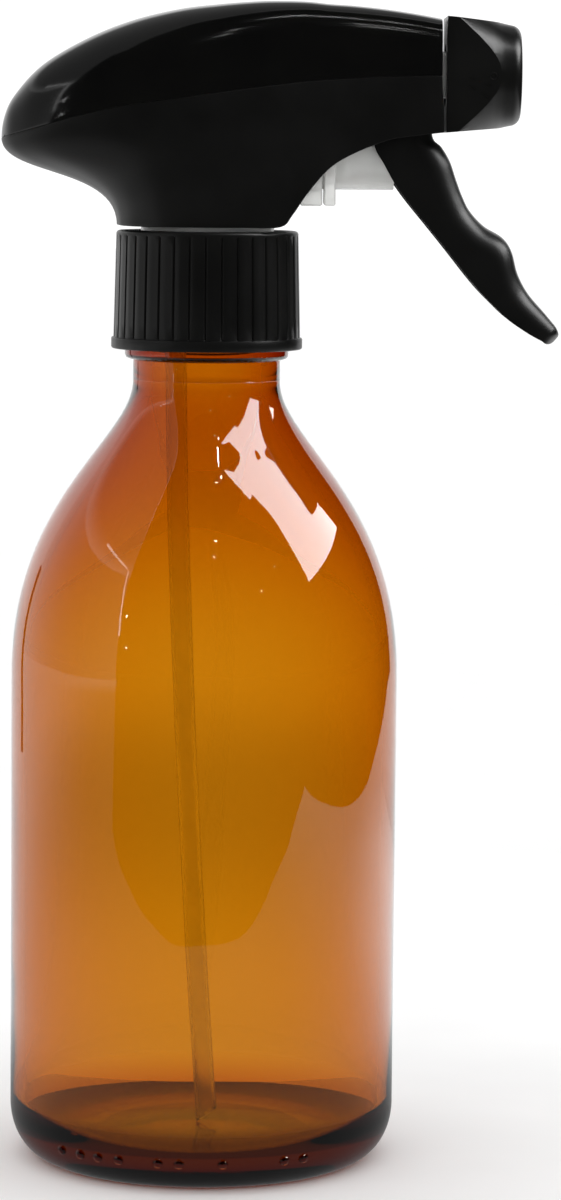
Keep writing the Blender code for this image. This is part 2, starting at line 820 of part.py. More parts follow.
# Ribs of the shrouds from the front to the rear tip, in millimetres: the seam's point as
# (x, half width, height), the lower shroud's edge below it, and the ridge's height above it.
SHROUD_RIBS = [
    ((38.5, 10.2, 182.2), (38.9, 10.2, 173.0), 191.7),
    ((34.0, 10.2, 182.15), (34.3, 10.2, 172.4), 192.5),
    ((29.0, 10.2, 182.0), (29.6, 10.2, 171.6), 193.2),
    ((24.0, 10.3, 181.7), (23.9, 10.3, 169.3), 193.7),
    ((20.0, 10.6, 181.4), (20.0, 10.6, 166.8), 193.95),
    ((16.5, 11.0, 181.1), (16.5, 10.9, 162.7), 194.3),
    ((12.5, 11.7, 180.6), (14.2, 11.2, 159.3), 194.4),
    ((8.0, 12.5, 180.0), (12.2, 11.7, 157.2), 194.3),
    ((2.0, 13.5, 179.15), (6.0, 12.9, 157.0), 193.8),
    ((-5.0, 14.2, 178.1), (-1.0, 13.4, 157.0), 192.9),
    ((-13.0, 14.0, 177.0), (-7.5, 12.2, 157.0), 190.9),
    ((-20.5, 12.6, 175.3), (-11.6, 9.4, 157.0), 187.8),
    ((-27.5, 9.8, 173.4), (-14.0, 6.0, 157.1), 183.6),
    ((-32.0, 5.9, 172.2), (-14.95, 2.9, 157.2), 178.8),
    ((-33.8, 2.9, 171.7), (-15.1, 1.3, 157.2), 175.3),
    ((-34.4, 0.0, 171.5), (-15.15, 0.0, 157.2), 172.2),
]


def both_sides(ribs):
    """The ribs of one side, then the other side's from the rear tip back to the front."""
    left = [(a, b, ridge, -1) for a, b, ridge in ribs]
    right = [(a, b, ridge, 1) for a, b, ridge in reversed(ribs[:-1])]
    return left + right


def grid(shape, columns, pole=None):
    """Quads between columns of vertices, and a fan to a pole behind the last column."""
    for column, following in zip(columns, columns[1:]):
        for k in range(len(column) - 1):
            shape.faces.new((column[k], column[k + 1], following[k + 1], following[k]))
    if pole is not None:
        last = columns[-1]
        for k in range(len(last) - 1):
            shape.faces.new((last[k], last[k + 1], pole))


def thicken(piece):
    shell = piece.modifiers.new("wall", "SOLIDIFY")
    shell.thickness = SHROUD_WALL
    shell.offset = -1
    shell.use_even_offset = True
    return piece


def open_shell(name, build):
    """An open surface with its faces pointing out, thickened inwards."""
    shape = bmesh.new()
    build(shape)
    bmesh.ops.recalc_face_normals(shape, faces=shape.faces)
    inside = Vector((0, 0, 175 * MM))
    if sum(face.normal.dot(face.calc_center_median() - inside) for face in shape.faces) < 0:
        bmesh.ops.reverse_faces(shape, faces=shape.faces)
    mesh = bpy.data.meshes.new(name)
    shape.to_mesh(mesh)
    shape.free()
    mesh.shade_smooth()
    return thicken(new_object(name, mesh, PIECES))


def make_upper_shroud(parent, black):
    # A short first span on each side keeps the wall upright where it meets the seam.
    angles = [math.radians(a) for a in (0, 3, 18, 36, 54, 72, 90, 108, 126, 144, 162, 177, 180)]

    def build(shape):
        columns = []
        for (x, half, seam), _, ridge in SHROUD_RIBS[:-1]:
            squareness = 2.2 + 1.3 * min(1, max(0, (x + 10) / 30))
            column = []
            for angle in angles:
                across = math.copysign(abs(math.cos(angle)) ** (2 / squareness), math.cos(angle))
                up = abs(math.sin(angle)) ** (2 / squareness)
                height = seam + (ridge - seam) * up
                column.append(shape.verts.new((x * MM, half * across * MM, height * MM + SEAM)))
            columns.append(column)
        (x, _, seam), _, _ = SHROUD_RIBS[-1]
        pole = shape.verts.new((x * MM, 0, seam * MM + SEAM))
        grid(shape, columns, pole)

    return settle(open_shell("upper_shroud", build), parent, black)


def make_lower_shroud(parent, black):
    rows = (0, 0.04, 0.2, 0.4, 0.6, 0.8, 1)

    def build(shape):
        columns = []
        for top, foot, _, side in both_sides(SHROUD_RIBS):
            upper = Vector((top[0], side * top[1], top[2])) * MM - Vector((0, 0, SEAM))
            lower = Vector((foot[0], side * foot[1], foot[2])) * MM
            drop = upper.z - lower.z
            first = upper - Vector((0, 0, 0.45 * drop))
            second = lower + Vector((0, 0, 0.68 * drop))
            corners = (upper, first, second, lower)
            columns.append([shape.verts.new(cubic(corners, t)) for t in rows])
        grid(shape, columns)

    return settle(open_shell("lower_shroud", build), parent, black)


def build():
    amber_glass = finish("amber glass", AMBER, 0.05)
    gloss = finish("gloss black plastic", BLACK, 0.15)
    satin = finish("satin black plastic", SATIN_BLACK, 0.45)
    natural = finish("natural polypropylene", NATURAL, 0.35)
    steel = finish("stainless steel", STEEL, 0.3, 1.0)
    rubber = finish("black rubber", RUBBER, 0.7)
    foam = finish("white foam", NATURAL, 0.8)

    stand = bpy.data.objects.new("bottle_axis", None)
    PIECES.objects.link(stand)
    stand.location = (BOTTLE_X, 0, 0)
    head = axis_empty("head_axis", 0, 0, stand)
    closure_axis = axis_empty("closure_axis", 0, 0, head)
    pivot = axis_empty("trigger_pivot", PIVOT_X, PIVOT_Z, head)
    piston = axis_empty("pump_axis", 0, PUMP_Z, head)
    nozzle = axis_empty("nozzle_axis", NOZZLE_BACK_X, SPRAY_Z, head)

    make_bottle(stand, amber_glass)
    make_closure(closure_axis, satin)
    make_closure_liner(head, foam)
    make_tube_retainer(head, natural)
    make_dip_tube(head, natural)
    make_sprayer_body(head, natural)
    make_pump_cylinder(head, natural)
    make_cylinder_seal(head, rubber)
    make_inlet_ball(head, steel)
    make_piston_cup(piston, rubber)
    make_piston_rod(piston, natural)
    make_return_spring(piston, steel)
    make_trigger(pivot, satin)
    make_outlet_valve(head, rubber)
    make_spinner(head, natural)
    make_nozzle_seal(head, rubber)
    make_nozzle_cap(nozzle, gloss)
    make_nozzle_insert(nozzle, gloss)
    make_upper_shroud(head, gloss)
    make_lower_shroud(head, satin)

    # The cutters are drawn from the bottle's axis too, so they stand with it.
    for cutter in CUTTERS.objects:
        cutter.parent = stand


build()
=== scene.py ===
"""Looks of the amber glass bottle with a black trigger sprayer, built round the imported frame."""

import json
import math

import bmesh
import bpy
from mathutils import Matrix, Vector

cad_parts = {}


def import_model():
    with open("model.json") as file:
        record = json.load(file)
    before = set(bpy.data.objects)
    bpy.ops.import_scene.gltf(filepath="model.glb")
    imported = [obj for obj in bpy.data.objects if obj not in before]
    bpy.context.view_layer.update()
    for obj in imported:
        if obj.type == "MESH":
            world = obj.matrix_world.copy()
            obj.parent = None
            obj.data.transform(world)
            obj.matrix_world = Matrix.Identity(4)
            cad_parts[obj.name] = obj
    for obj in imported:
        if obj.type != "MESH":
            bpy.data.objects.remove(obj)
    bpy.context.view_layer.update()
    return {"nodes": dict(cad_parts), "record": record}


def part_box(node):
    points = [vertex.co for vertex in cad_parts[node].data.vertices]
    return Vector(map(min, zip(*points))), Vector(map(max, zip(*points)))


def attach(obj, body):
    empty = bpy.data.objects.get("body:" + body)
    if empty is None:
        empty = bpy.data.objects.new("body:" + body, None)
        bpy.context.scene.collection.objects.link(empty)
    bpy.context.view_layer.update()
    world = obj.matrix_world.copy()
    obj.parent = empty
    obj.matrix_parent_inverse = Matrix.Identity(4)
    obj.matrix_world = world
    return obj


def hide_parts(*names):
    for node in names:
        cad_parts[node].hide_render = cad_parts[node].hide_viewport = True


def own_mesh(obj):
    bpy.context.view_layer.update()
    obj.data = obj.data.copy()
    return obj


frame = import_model()

MM = 0.001

# Places read from the frame.
bottle_low, bottle_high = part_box("bottle")
AXIS_X = (bottle_low[0] + bottle_high[0]) / 2
BOTTLE_R = (bottle_high[0] - bottle_low[0]) / 2
BOTTLE_TOP = bottle_high[2]
closure_low, closure_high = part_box("closure")
nozzle_low, nozzle_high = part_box("nozzle_cap")
SPRAY_Z = (nozzle_low[2] + nozzle_high[2]) / 2
NOZZLE_BACK = nozzle_low[0]
NOZZLE_FRONT = nozzle_high[0]
pump_low, pump_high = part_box("pump_cylinder")
spring_low, spring_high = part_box("return_spring")
PUMP_Z = (spring_low[2] + spring_high[2]) / 2
joints = {joint["name"]: joint for joint in frame["record"]["behaviour"]["joints"]}
PIVOT = Vector(joints["trigger_squeeze"]["pos_m"])

# Glass.
WALL = 2.3 * MM
NECK_R = 12.3 * MM
MOUTH_R = 9.2 * MM
RING_R = 13.7 * MM
RING_LOW = 134.9 * MM
RING_HIGH = 137.3 * MM
SHOULDER_TOP = 131.5 * MM
SHOULDER_FOOT = 82.0 * MM
FOOT_R = 26.0 * MM
HEEL_H = 9.0 * MM
FOOT_INNER_R = 23.5 * MM
PUSH_UP = 2.2 * MM
FLOOR_TOP = 4.6 * MM
PITCH = 25.4 / 6 * MM
THREAD_TURNS = 1.25
THREAD_START = 144.2 * MM

# Closure.
RIBS = 36
LEDGE = 155.2 * MM
CLOSURE_BORE_R = 13.95 * MM
CLOSURE_HOLE_R = 11.5 * MM
FLANGE_R = (closure_high[0] - closure_low[0]) / 2
FLANGE_TOP = 138.7 * MM
SKIRT_FOOT_R = 15.6 * MM
SKIRT_TOP_R = 15.2 * MM
RIB_DEPTH = 0.28 * MM


# ---------------------------------------------------------------- mesh helpers


def put(name, mesh, material):
    """Put a mesh in the scene under a name, with its one material."""
    piece = bpy.data.objects.new(name, mesh)
    bpy.context.scene.collection.objects.link(piece)
    mesh.materials.clear()
    mesh.materials.append(material)
    return piece


def from_shape(name, shape, material, sharp=40):
    """Turn a bmesh into a piece with its faces pointing out, shaded smooth up to an angle."""
    bmesh.ops.recalc_face_normals(shape, faces=shape.faces)
    mesh = bpy.data.meshes.new(name)
    shape.to_mesh(mesh)
    shape.free()
    mesh.shade_smooth()
    mesh.set_sharp_from_angle(angle=math.radians(sharp))
    return put(name, mesh, material)


def loose(shape):
    """Turn a bmesh into a loose object, to cut with or to join on."""
    mesh = bpy.data.meshes.new("loose")
    shape.to_mesh(mesh)
    shape.free()
    return bpy.data.objects.new("loose", mesh)


def hollow(name, shape, inside, material, thickness):
    """Turn an open surface into a wall that grows inwards, towards the place given as inside."""
    bmesh.ops.recalc_face_normals(shape, faces=shape.faces)
    if sum(f.normal.dot(f.calc_center_median() - inside) for f in shape.faces) < 0:
        bmesh.ops.reverse_faces(shape, faces=shape.faces)
    mesh = bpy.data.meshes.new(name)
    shape.to_mesh(mesh)
    shape.free()
    piece = put(name, mesh, material)
    wall = piece.modifiers.new("wall", "SOLIDIFY")
    wall.thickness = thickness
    wall.offset = -1
    wall.use_even_offset = True
    return piece


def skin(shape, rows, close_rows=False, close_columns=False):
    """Quads between rows of vertices of equal length."""
    count = len(rows)
    length = len(rows[0])
    for i in range(count if close_rows else count - 1):
        row, following = rows[i], rows[(i + 1) % count]
        for k in range(length if close_columns else length - 1):
            corner = (k + 1) % length
            shape.faces.new((row[k], row[corner], following[corner], following[k]))


def turned(name, outline, material, segments=96, x=AXIS_X, z=0.0, along_x=False, sharp=40):
    """Spin an outline of (radius, height) about the upright axis at x, or about +X at height z."""
    shape = bmesh.new()
    rows = []
    for radius, height in outline:
        row = []
        spots = 1 if radius < 0.00001 else segments
        for k in range(spots):
            angle = 2 * math.pi * k / segments
            across, side = radius * math.cos(angle), radius * math.sin(angle)
            place = (x + height, side, z + across) if along_x else (x + across, side, z + height)
            row.append(shape.verts.new(place))
        rows.append(row)
    on_axis = len(rows[0]) == 1
    for i in range(len(rows) - 1 if on_axis else len(rows)):
        row, following = rows[i], rows[(i + 1) % len(rows)]
        for k in range(segments):
            corner = (k + 1) % segments
            if len(row) == 1 and len(following) > 1:
                shape.faces.new((row[0], following[corner], following[k]))
            elif len(following) == 1 and len(row) > 1:
                shape.faces.new((row[k], row[corner], following[0]))
            elif len(row) > 1:
                shape.faces.new((row[k], row[corner], following[corner], following[k]))
    return from_shape(name, shape, material, sharp)


def softened(outline, radius, steps=3, closed=True):
    """The same outline with each corner turned through a small curve."""
    result = []
    count = len(outline)
    for i, here in enumerate(outline):
        at_end = not closed and i in (0, count - 1)
        before, after = outline[i - 1], outline[(i + 1) % count]
        here_v, before_v, after_v = (Vector((*p, 0)) for p in (here, before, after))
        back, ahead = before_v - here_v, after_v - here_v
        if at_end or here[0] < 0.00001 or back.angle(ahead, 0) > math.radians(172):
            result.append(here)
            continue
        reach = min(radius, 0.45 * back.length, 0.45 * ahead.length)
        first = here_v + back.normalized() * reach
        last = here_v + ahead.normalized() * reach
        for j in range(steps + 1):
            t = j / steps
            point = first.lerp(here_v, t).lerp(here_v.lerp(last, t), t)
            result.append((point.x, point.y))
    return result


def cubic(corners, t):
    """The point at t of the cubic curve with these four control points."""
    weights = ((1 - t) ** 3, 3 * t * (1 - t) ** 2, 3 * t * t * (1 - t), t**3)
    return tuple(sum(w * c[k] for w, c in zip(weights, corners)) for k in range(len(corners[0])))


def bezier(corners, steps):
    """Points along the cubic curve, its two ends among them."""
    return [cubic(corners, i / steps) for i in range(steps + 1)]


def arc(centre, radii, start, end, steps):
    """Points of a circle's or an ellipse's arc, between two angles in degrees."""
    angles = [math.radians(start + (end - start) * i / steps) for i in range(steps + 1)]
    return [(centre[0] + radii[0] * math.cos(a), centre[1] + radii[1] * math.sin(a)) for a in angles]


def through(points, per_span):
    """A smooth curve through the points, leaving out the first and the last one."""
    smooth = []
    for i in range(1, len(points) - 2):
        a, b, c, d = (Vector(points[i + k]) for k in (-1, 0, 1, 2))
        for step in range(per_span):
            t = step / per_span
            bend = (2 * a - 5 * b + 4 * c - d) * t * t + (3 * b - a - 3 * c + d) * t**3
            smooth.append(0.5 * (2 * b + (c - a) * t + bend))
    smooth.append(Vector(points[-2]))
    return smooth


def mirrored_end(points):
    """The points with one more at each end, so that the curve runs straight out of them."""
    first = 2 * Vector(points[0]) - Vector(points[1])
    last = 2 * Vector(points[-1]) - Vector(points[-2])
    return [first, *(Vector(p) for p in points), last]


def block(low, high, rounding=0.0):
    """A box as a loose cutter or filler, its edges rounded if a rounding is given."""
    shape = bmesh.new()
    low, high = Vector(low), Vector(high)
    size = Matrix.Diagonal((*(high - low), 1))
    bmesh.ops.create_cube(shape, size=1, matrix=Matrix.Translation((low + high) / 2) @ size)
    if rounding:
        bmesh.ops.bevel(
            shape, geom=shape.edges, offset=rounding, segments=3, profile=0.5, affect="EDGES"
        )
    return loose(shape)


def bar(start, end, radius, sides=48, end_radius=None):
    """A round bar between two points, as a loose cutter or filler."""
    start, end = Vector(start), Vector(end)
    along = end - start
    turn = along.to_track_quat("Z", "Y").to_matrix().to_4x4()
    shape = bmesh.new()
    bmesh.ops.create_cone(
        shape,
        cap_ends=True,
        segments=sides,
        radius1=radius,
        radius2=radius if end_radius is None else end_radius,
        depth=along.length,
        matrix=Matrix.Translation((start + end) / 2) @ turn,
    )
    return loose(shape)


def slab(outline, half_thickness):
    """A flat outline in X and Z, counted from the bottle's axis, as a loose plate across Y."""
    shape = bmesh.new()
    rows = [
        [shape.verts.new((AXIS_X + x, side * half_thickness, z)) for x, z in outline]
        for side in (-1, 1)
    ]
    skin(shape, rows, close_columns=True)
    shape.faces.new(rows[0])
    shape.faces.new(rows[1])
    bmesh.ops.recalc_face_normals(shape, faces=shape.faces)
    return loose(shape)


def work(piece, operation, others):
    """Join, cut or keep the common part of a piece and loose shapes, and clear those away."""
    for other in others:
        bpy.context.scene.collection.objects.link(other)
        modifier = piece.modifiers.new("work", "BOOLEAN")
        modifier.operation = operation
        modifier.object = other
    settle(piece)
    for other in others:
        bpy.data.objects.remove(other)
    return piece


def settle(piece, sharp=40):
    """Apply a piece's modifiers to its mesh."""
    bpy.context.view_layer.update()
    evaluated = piece.evaluated_get(bpy.context.evaluated_depsgraph_get())
    mesh = bpy.data.meshes.new_from_object(evaluated)
    mesh.name = piece.name
    piece.modifiers.clear()
    piece.data = mesh
    mesh.shade_smooth()
    mesh.set_sharp_from_angle(angle=math.radians(sharp))
    return piece


def round_edges(piece, width, angle, sharp=40):
    """Round every edge that turns through more than the angle."""
    modifier = piece.modifiers.new("edges", "BEVEL")
    modifier.width = width
    modifier.segments = 3
    modifier.limit_method = "ANGLE"
    modifier.angle_limit = math.radians(angle)
    return settle(piece, sharp)


def thread_ridge(root_r, crest_r, root_half, crest_half, start_z):
    """A helical ridge that fades out at both ends, as a loose shape."""
    shape = bmesh.new()
    steps_per_turn = 72
    steps = int(steps_per_turn * THREAD_TURNS)
    fade = steps_per_turn / 8
    rows = []
    for i in range(steps + 1):
        angle = math.radians(3) + 2 * math.pi * i / steps_per_turn
        z = start_z + PITCH * i / steps_per_turn
        crest = root_r + (crest_r - root_r) * min(1, (i + 1) / fade, (steps - i + 1) / fade)
        section = ((root_r, -root_half), (crest, -crest_half), (crest, crest_half), (root_r, root_half))
        rows.append(
            [
                shape.verts.new((AXIS_X + r * math.cos(angle), r * math.sin(angle), z + up))
                for r, up in section
            ]
        )
    skin(shape, rows, close_columns=True)
    shape.faces.new(rows[0])
    shape.faces.new(rows[-1])
    bmesh.ops.recalc_face_normals(shape, faces=shape.faces)
    return loose(shape)


# ---------------------------------------------------------------- materials


def linear(hex_colour):
    """An sRGB hex colour as linear red, green, blue and alpha."""
    values = [int(hex_colour[i : i + 2], 16) / 255 for i in (0, 2, 4)]
    return [v / 12.92 if v <= 0.04045 else ((v + 0.055) / 1.055) ** 2.4 for v in values] + [1.0]


def add(tree, kind, settings=None, stops=(), **inputs):
    """Add a node with its settings and colour stops, and fill its inputs or link them."""
    made = tree.nodes.new("ShaderNode" + kind)
    for key, value in (settings or {}).items():
        setattr(made, key, value)
    for i, (position, colour) in enumerate(stops):
        made.color_ramp.elements[i].position = position
        made.color_ramp.elements[i].color = linear(colour)
    for key, value in inputs.items():
        socket = made.inputs[key.replace("_", " ")]
        if isinstance(value, bpy.types.Node):
            value = value.outputs[0]
        if isinstance(value, bpy.types.NodeSocket):
            tree.links.new(value, socket)
        else:
            socket.default_value = value
    return made


def blank(name):
    """A material with an output and nothing else, and its node tree."""
    made = bpy.data.materials.new(name)
    made.use_nodes = True
    made.node_tree.nodes.clear()
    return made, made.node_tree


def finish_with(tree, shader, volume=None):
    links = {"Surface": shader.outputs[0]}
    if volume is not None:
        links["Volume"] = volume.outputs[0]
    add(tree, "OutputMaterial", **links)


def amber_soda_lime_glass():
    """Blown and fire-polished: mirror smooth, with slow waves 18 mm long in its surface."""
    made, tree = blank("amber soda-lime glass")
    place = add(tree, "TexCoord").outputs["Object"]
    waves = add(tree, "TexNoise", Vector=place, Scale=1 / (18 * MM), Detail=1.0)
    shader = add(
        tree,
        "BsdfPrincipled",
        Base_Color=(1, 1, 1, 1),
        Roughness=0.0,
        IOR=1.52,
        Transmission_Weight=1.0,
        Normal=add(tree, "Bump", Height=waves, Distance=0.12 * MM),
    )
    # Iron and sulphur in the glass take out all the blue and most of the green.
    colouring = add(tree, "VolumeAbsorption", Color=(0.896, 0.714, 0.0, 1), Density=1270.0)
    finish_with(tree, shader, colouring)
    return made


def glossy_abs():
    """Moulded in a polished tool: deep black, sharp reflections, a trace of orange peel."""
    made, tree = blank("glossy black ABS")
    place = add(tree, "TexCoord").outputs["Object"]
    peel = add(tree, "TexNoise", Vector=place, Scale=1 / (2.2 * MM), Detail=1.0)
    handling = add(tree, "TexNoise", Vector=place, Scale=1 / (9 * MM), Detail=4.0)
    colours = ((0.3, "090909"), (0.7, "0C0C0B"))
    shader = add(
        tree,
        "BsdfPrincipled",
        Base_Color=add(tree, "ValToRGB", stops=colours, Fac=handling),
        Roughness=add(tree, "MapRange", Value=handling, To_Min=0.08, To_Max=0.15),
        IOR=1.53,
        Specular_IOR_Level=0.36,
        Normal=add(tree, "Bump", Height=peel, Distance=0.006 * MM),
    )
    finish_with(tree, shader)
    return made


def satin_polypropylene(name, roughness, depth):
    """Moulded in a spark-eroded tool: its fine pits, drawn 0.3 mm wide, spread the highlights."""
    made, tree = blank(name)
    place = add(tree, "TexCoord").outputs["Object"]
    pits = add(tree, "TexNoise", Vector=place, Scale=1 / (0.3 * MM), Detail=3.0)
    handling = add(tree, "TexNoise", Vector=place, Scale=1 / (12 * MM), Detail=5.0)
    colours = ((0.3, "0C0C0B"), (0.7, "111110"))
    smoothest, roughest = roughness - 0.04, roughness + 0.05
    shader = add(
        tree,
        "BsdfPrincipled",
        Base_Color=add(tree, "ValToRGB", stops=colours, Fac=handling),
        Roughness=add(tree, "MapRange", Value=handling, To_Min=smoothest, To_Max=roughest),
        IOR=1.49,
        Specular_IOR_Level=0.28,
        Normal=add(tree, "Bump", Height=pits, Distance=depth),
    )
    finish_with(tree, shader)
    return made


def mottled(name, size, detail, colours, roughness, depth=0.0, **inputs):
    """A finish whose colour, relief and, if it is a range, roughness follow one fine mottle."""
    made, tree = blank(name)
    place = add(tree, "TexCoord").outputs["Object"]
    mottle = add(tree, "TexNoise", Vector=place, Scale=1 / size, Detail=detail)
    if isinstance(roughness, tuple):
        smoothest, roughest = roughness
        roughness = add(tree, "MapRange", Value=mottle, To_Min=smoothest, To_Max=roughest)
    if depth:
        inputs["Normal"] = add(tree, "Bump", Height=mottle, Distance=depth)
    colour = add(tree, "ValToRGB", stops=zip((0.3, 0.7), colours), Fac=mottle)
    shader = add(tree, "BsdfPrincipled", Base_Color=colour, Roughness=roughness, **inputs)
    finish_with(tree, shader)
    return made


GLASS = amber_soda_lime_glass()
GLOSS = glossy_abs()
SATIN = satin_polypropylene("satin black polypropylene", 0.36, 0.012 * MM)
NOZZLE_BLACK = satin_polypropylene("semi-gloss black polypropylene", 0.3, 0.004 * MM)
# Unpigmented and part crystalline: milky, lets light through, waxy highlights.
NATURAL = mottled(
    "natural polypropylene",
    5 * MM,
    3.0,
    ("F0F1EE", "FAFAF8"),
    (0.18, 0.28),
    0.05 * MM,
    IOR=1.49,
    Transmission_Weight=0.55,
)
# Extruded tube: clear enough to see through, slightly milky and soft.
TUBE = mottled(
    "low-density polyethylene",
    6 * MM,
    2.0,
    ("F8F7F2", "FDFCF9"),
    0.18,
    0.004 * MM,
    IOR=1.51,
    Transmission_Weight=0.955,
)
# Pressed seals: matt black with a slight bloom.
RUBBER = mottled(
    "nitrile rubber", 1.5 * MM, 4.0, ("161616", "242423"), (0.62, 0.8), 0.01 * MM, IOR=1.52
)
# Sealing disc: white closed cells under a millimetre wide.
FOAM = mottled(
    "foamed polyethylene", 0.6 * MM, 2.0, ("E2E2DE", "F4F4F1"), 0.85, 0.05 * MM, IOR=1.5
)
# Cold-drawn wire and a lapped ball: bright, with fine lines left by the die.
STEEL = mottled("stainless steel", 0.4 * MM, 3.0, ("A4A5A7", "B9BABC"), (0.2, 0.32), Metallic=1.0)
# The studio's paper: matt white with a faint mottle.
PAPER = mottled("white paper sweep", 40 * MM, 2.0, ("F4F4F4", "F8F8F8"), 0.9)


# ---------------------------------------------------------------- bottle


def bottle_outline():
    """The glass in half section: down the outside, under the foot, up the inside."""
    lip = 0.9 * MM
    outside = [(NECK_R - lip, BOTTLE_TOP), (NECK_R, BOTTLE_TOP - lip)]
    outside += [(NECK_R, RING_HIGH + 1.2 * MM), (RING_R, RING_HIGH), (RING_R, RING_LOW + 0.4 * MM)]
    outside += [(NECK_R, RING_LOW)]
    outside = softened(outside, 0.7 * MM, 4, closed=False)
    # The two moulds of the neck and the body meet in a hairline.
    seam = SHOULDER_TOP + 0.2 * MM
    outside += [(NECK_R, seam + 0.12 * MM), (NECK_R + 0.05 * MM, seam), (NECK_R, seam - 0.12 * MM)]
    shoulder = (
        (NECK_R, SHOULDER_TOP),
        (NECK_R, SHOULDER_TOP - 10 * MM),
        (BOTTLE_R, SHOULDER_FOOT + 30 * MM),
        (BOTTLE_R, SHOULDER_FOOT),
    )
    outside += bezier(shoulder, 44)
    outside += [(BOTTLE_R, 60 * MM), (BOTTLE_R, 35 * MM), (BOTTLE_R, HEEL_H + 4 * MM)]
    outside += arc((FOOT_R, HEEL_H), (BOTTLE_R - FOOT_R, HEEL_H), 0, -84, 20)
    # The bearing ring under the heel, and the push-up inside it.
    outside += [(FOOT_R - 1.0 * MM, 0.02 * MM), (FOOT_INNER_R, 0.02 * MM)]
    outside += arc((FOOT_INNER_R, PUSH_UP), (11 * MM, PUSH_UP), -100, -160, 6)
    outside += [(8 * MM, PUSH_UP * 0.95), (0, PUSH_UP)]
    inner_r = BOTTLE_R - WALL
    corner = 7.2 * MM
    # The floor falls a little towards the wall, as the push-up under it does.
    trough = FLOOR_TOP - 0.8 * MM
    inside = [(0, FLOOR_TOP), (8 * MM, FLOOR_TOP - 0.1 * MM), (16 * MM, FLOOR_TOP - 0.4 * MM)]
    inside += arc((inner_r - corner, trough + corner), (corner, corner), -90, 0, 14)
    inner_shoulder = (
        (MOUTH_R, SHOULDER_TOP - 1.5 * MM),
        (MOUTH_R, SHOULDER_TOP - 12 * MM),
        (inner_r, SHOULDER_FOOT + 28 * MM),
        (inner_r, SHOULDER_FOOT),
    )
    inside += [(inner_r, 35 * MM), (inner_r, 60 * MM)] + bezier(inner_shoulder, 40)[::-1]
    inside += [(MOUTH_R, BOTTLE_TOP - 0.5 * MM), (MOUTH_R + 0.5 * MM, BOTTLE_TOP)]
    return outside, inside


# Code dots round the heel: angles in degrees from the front, towards the right.
HEEL_DOT_ANGLES = (-45, -37.5, -31, -24, -11.7, -5.4, 7.5, 26.5, 33)


def heel_dot(angle):
    """A shallow round pip on the heel, as a loose shape."""
    turn = math.radians(angle)
    low = math.radians(-25)
    radius = FOOT_R + (BOTTLE_R - FOOT_R) * math.cos(low)
    height = HEEL_H + HEEL_H * math.sin(low)
    outward = Vector((math.sin(turn) * 0.94, -math.cos(turn) * 0.94, -0.34)).normalized()
    centre = Vector((AXIS_X + radius * math.sin(turn), -radius * math.cos(turn), height))
    shape = bmesh.new()
    bmesh.ops.create_uvsphere(shape, u_segments=20, v_segments=12, radius=0.85 * MM)
    facing = outward.to_track_quat("Z", "Y").to_matrix().to_4x4()
    flat = Matrix.Diagonal((1, 1, 0.7, 1))
    bmesh.ops.transform(shape, matrix=Matrix.Translation(centre) @ facing @ flat, verts=shape.verts)
    return loose(shape)


def make_bottle():
    """The glass, from the middle of its floor up the inside and back under the foot."""
    outside, inside = bottle_outline()
    bottle = turned("glass_bottle", inside + outside, GLASS, 160, sharp=50)
    ridge = thread_ridge(NECK_R - 0.4 * MM, 13.5 * MM, 1.15 * MM, 0.6 * MM, THREAD_START)
    work(bottle, "UNION", [ridge] + [heel_dot(angle) for angle in HEEL_DOT_ANGLES])
    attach(bottle, "bottle")
    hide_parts("bottle")


# ---------------------------------------------------------------- closure


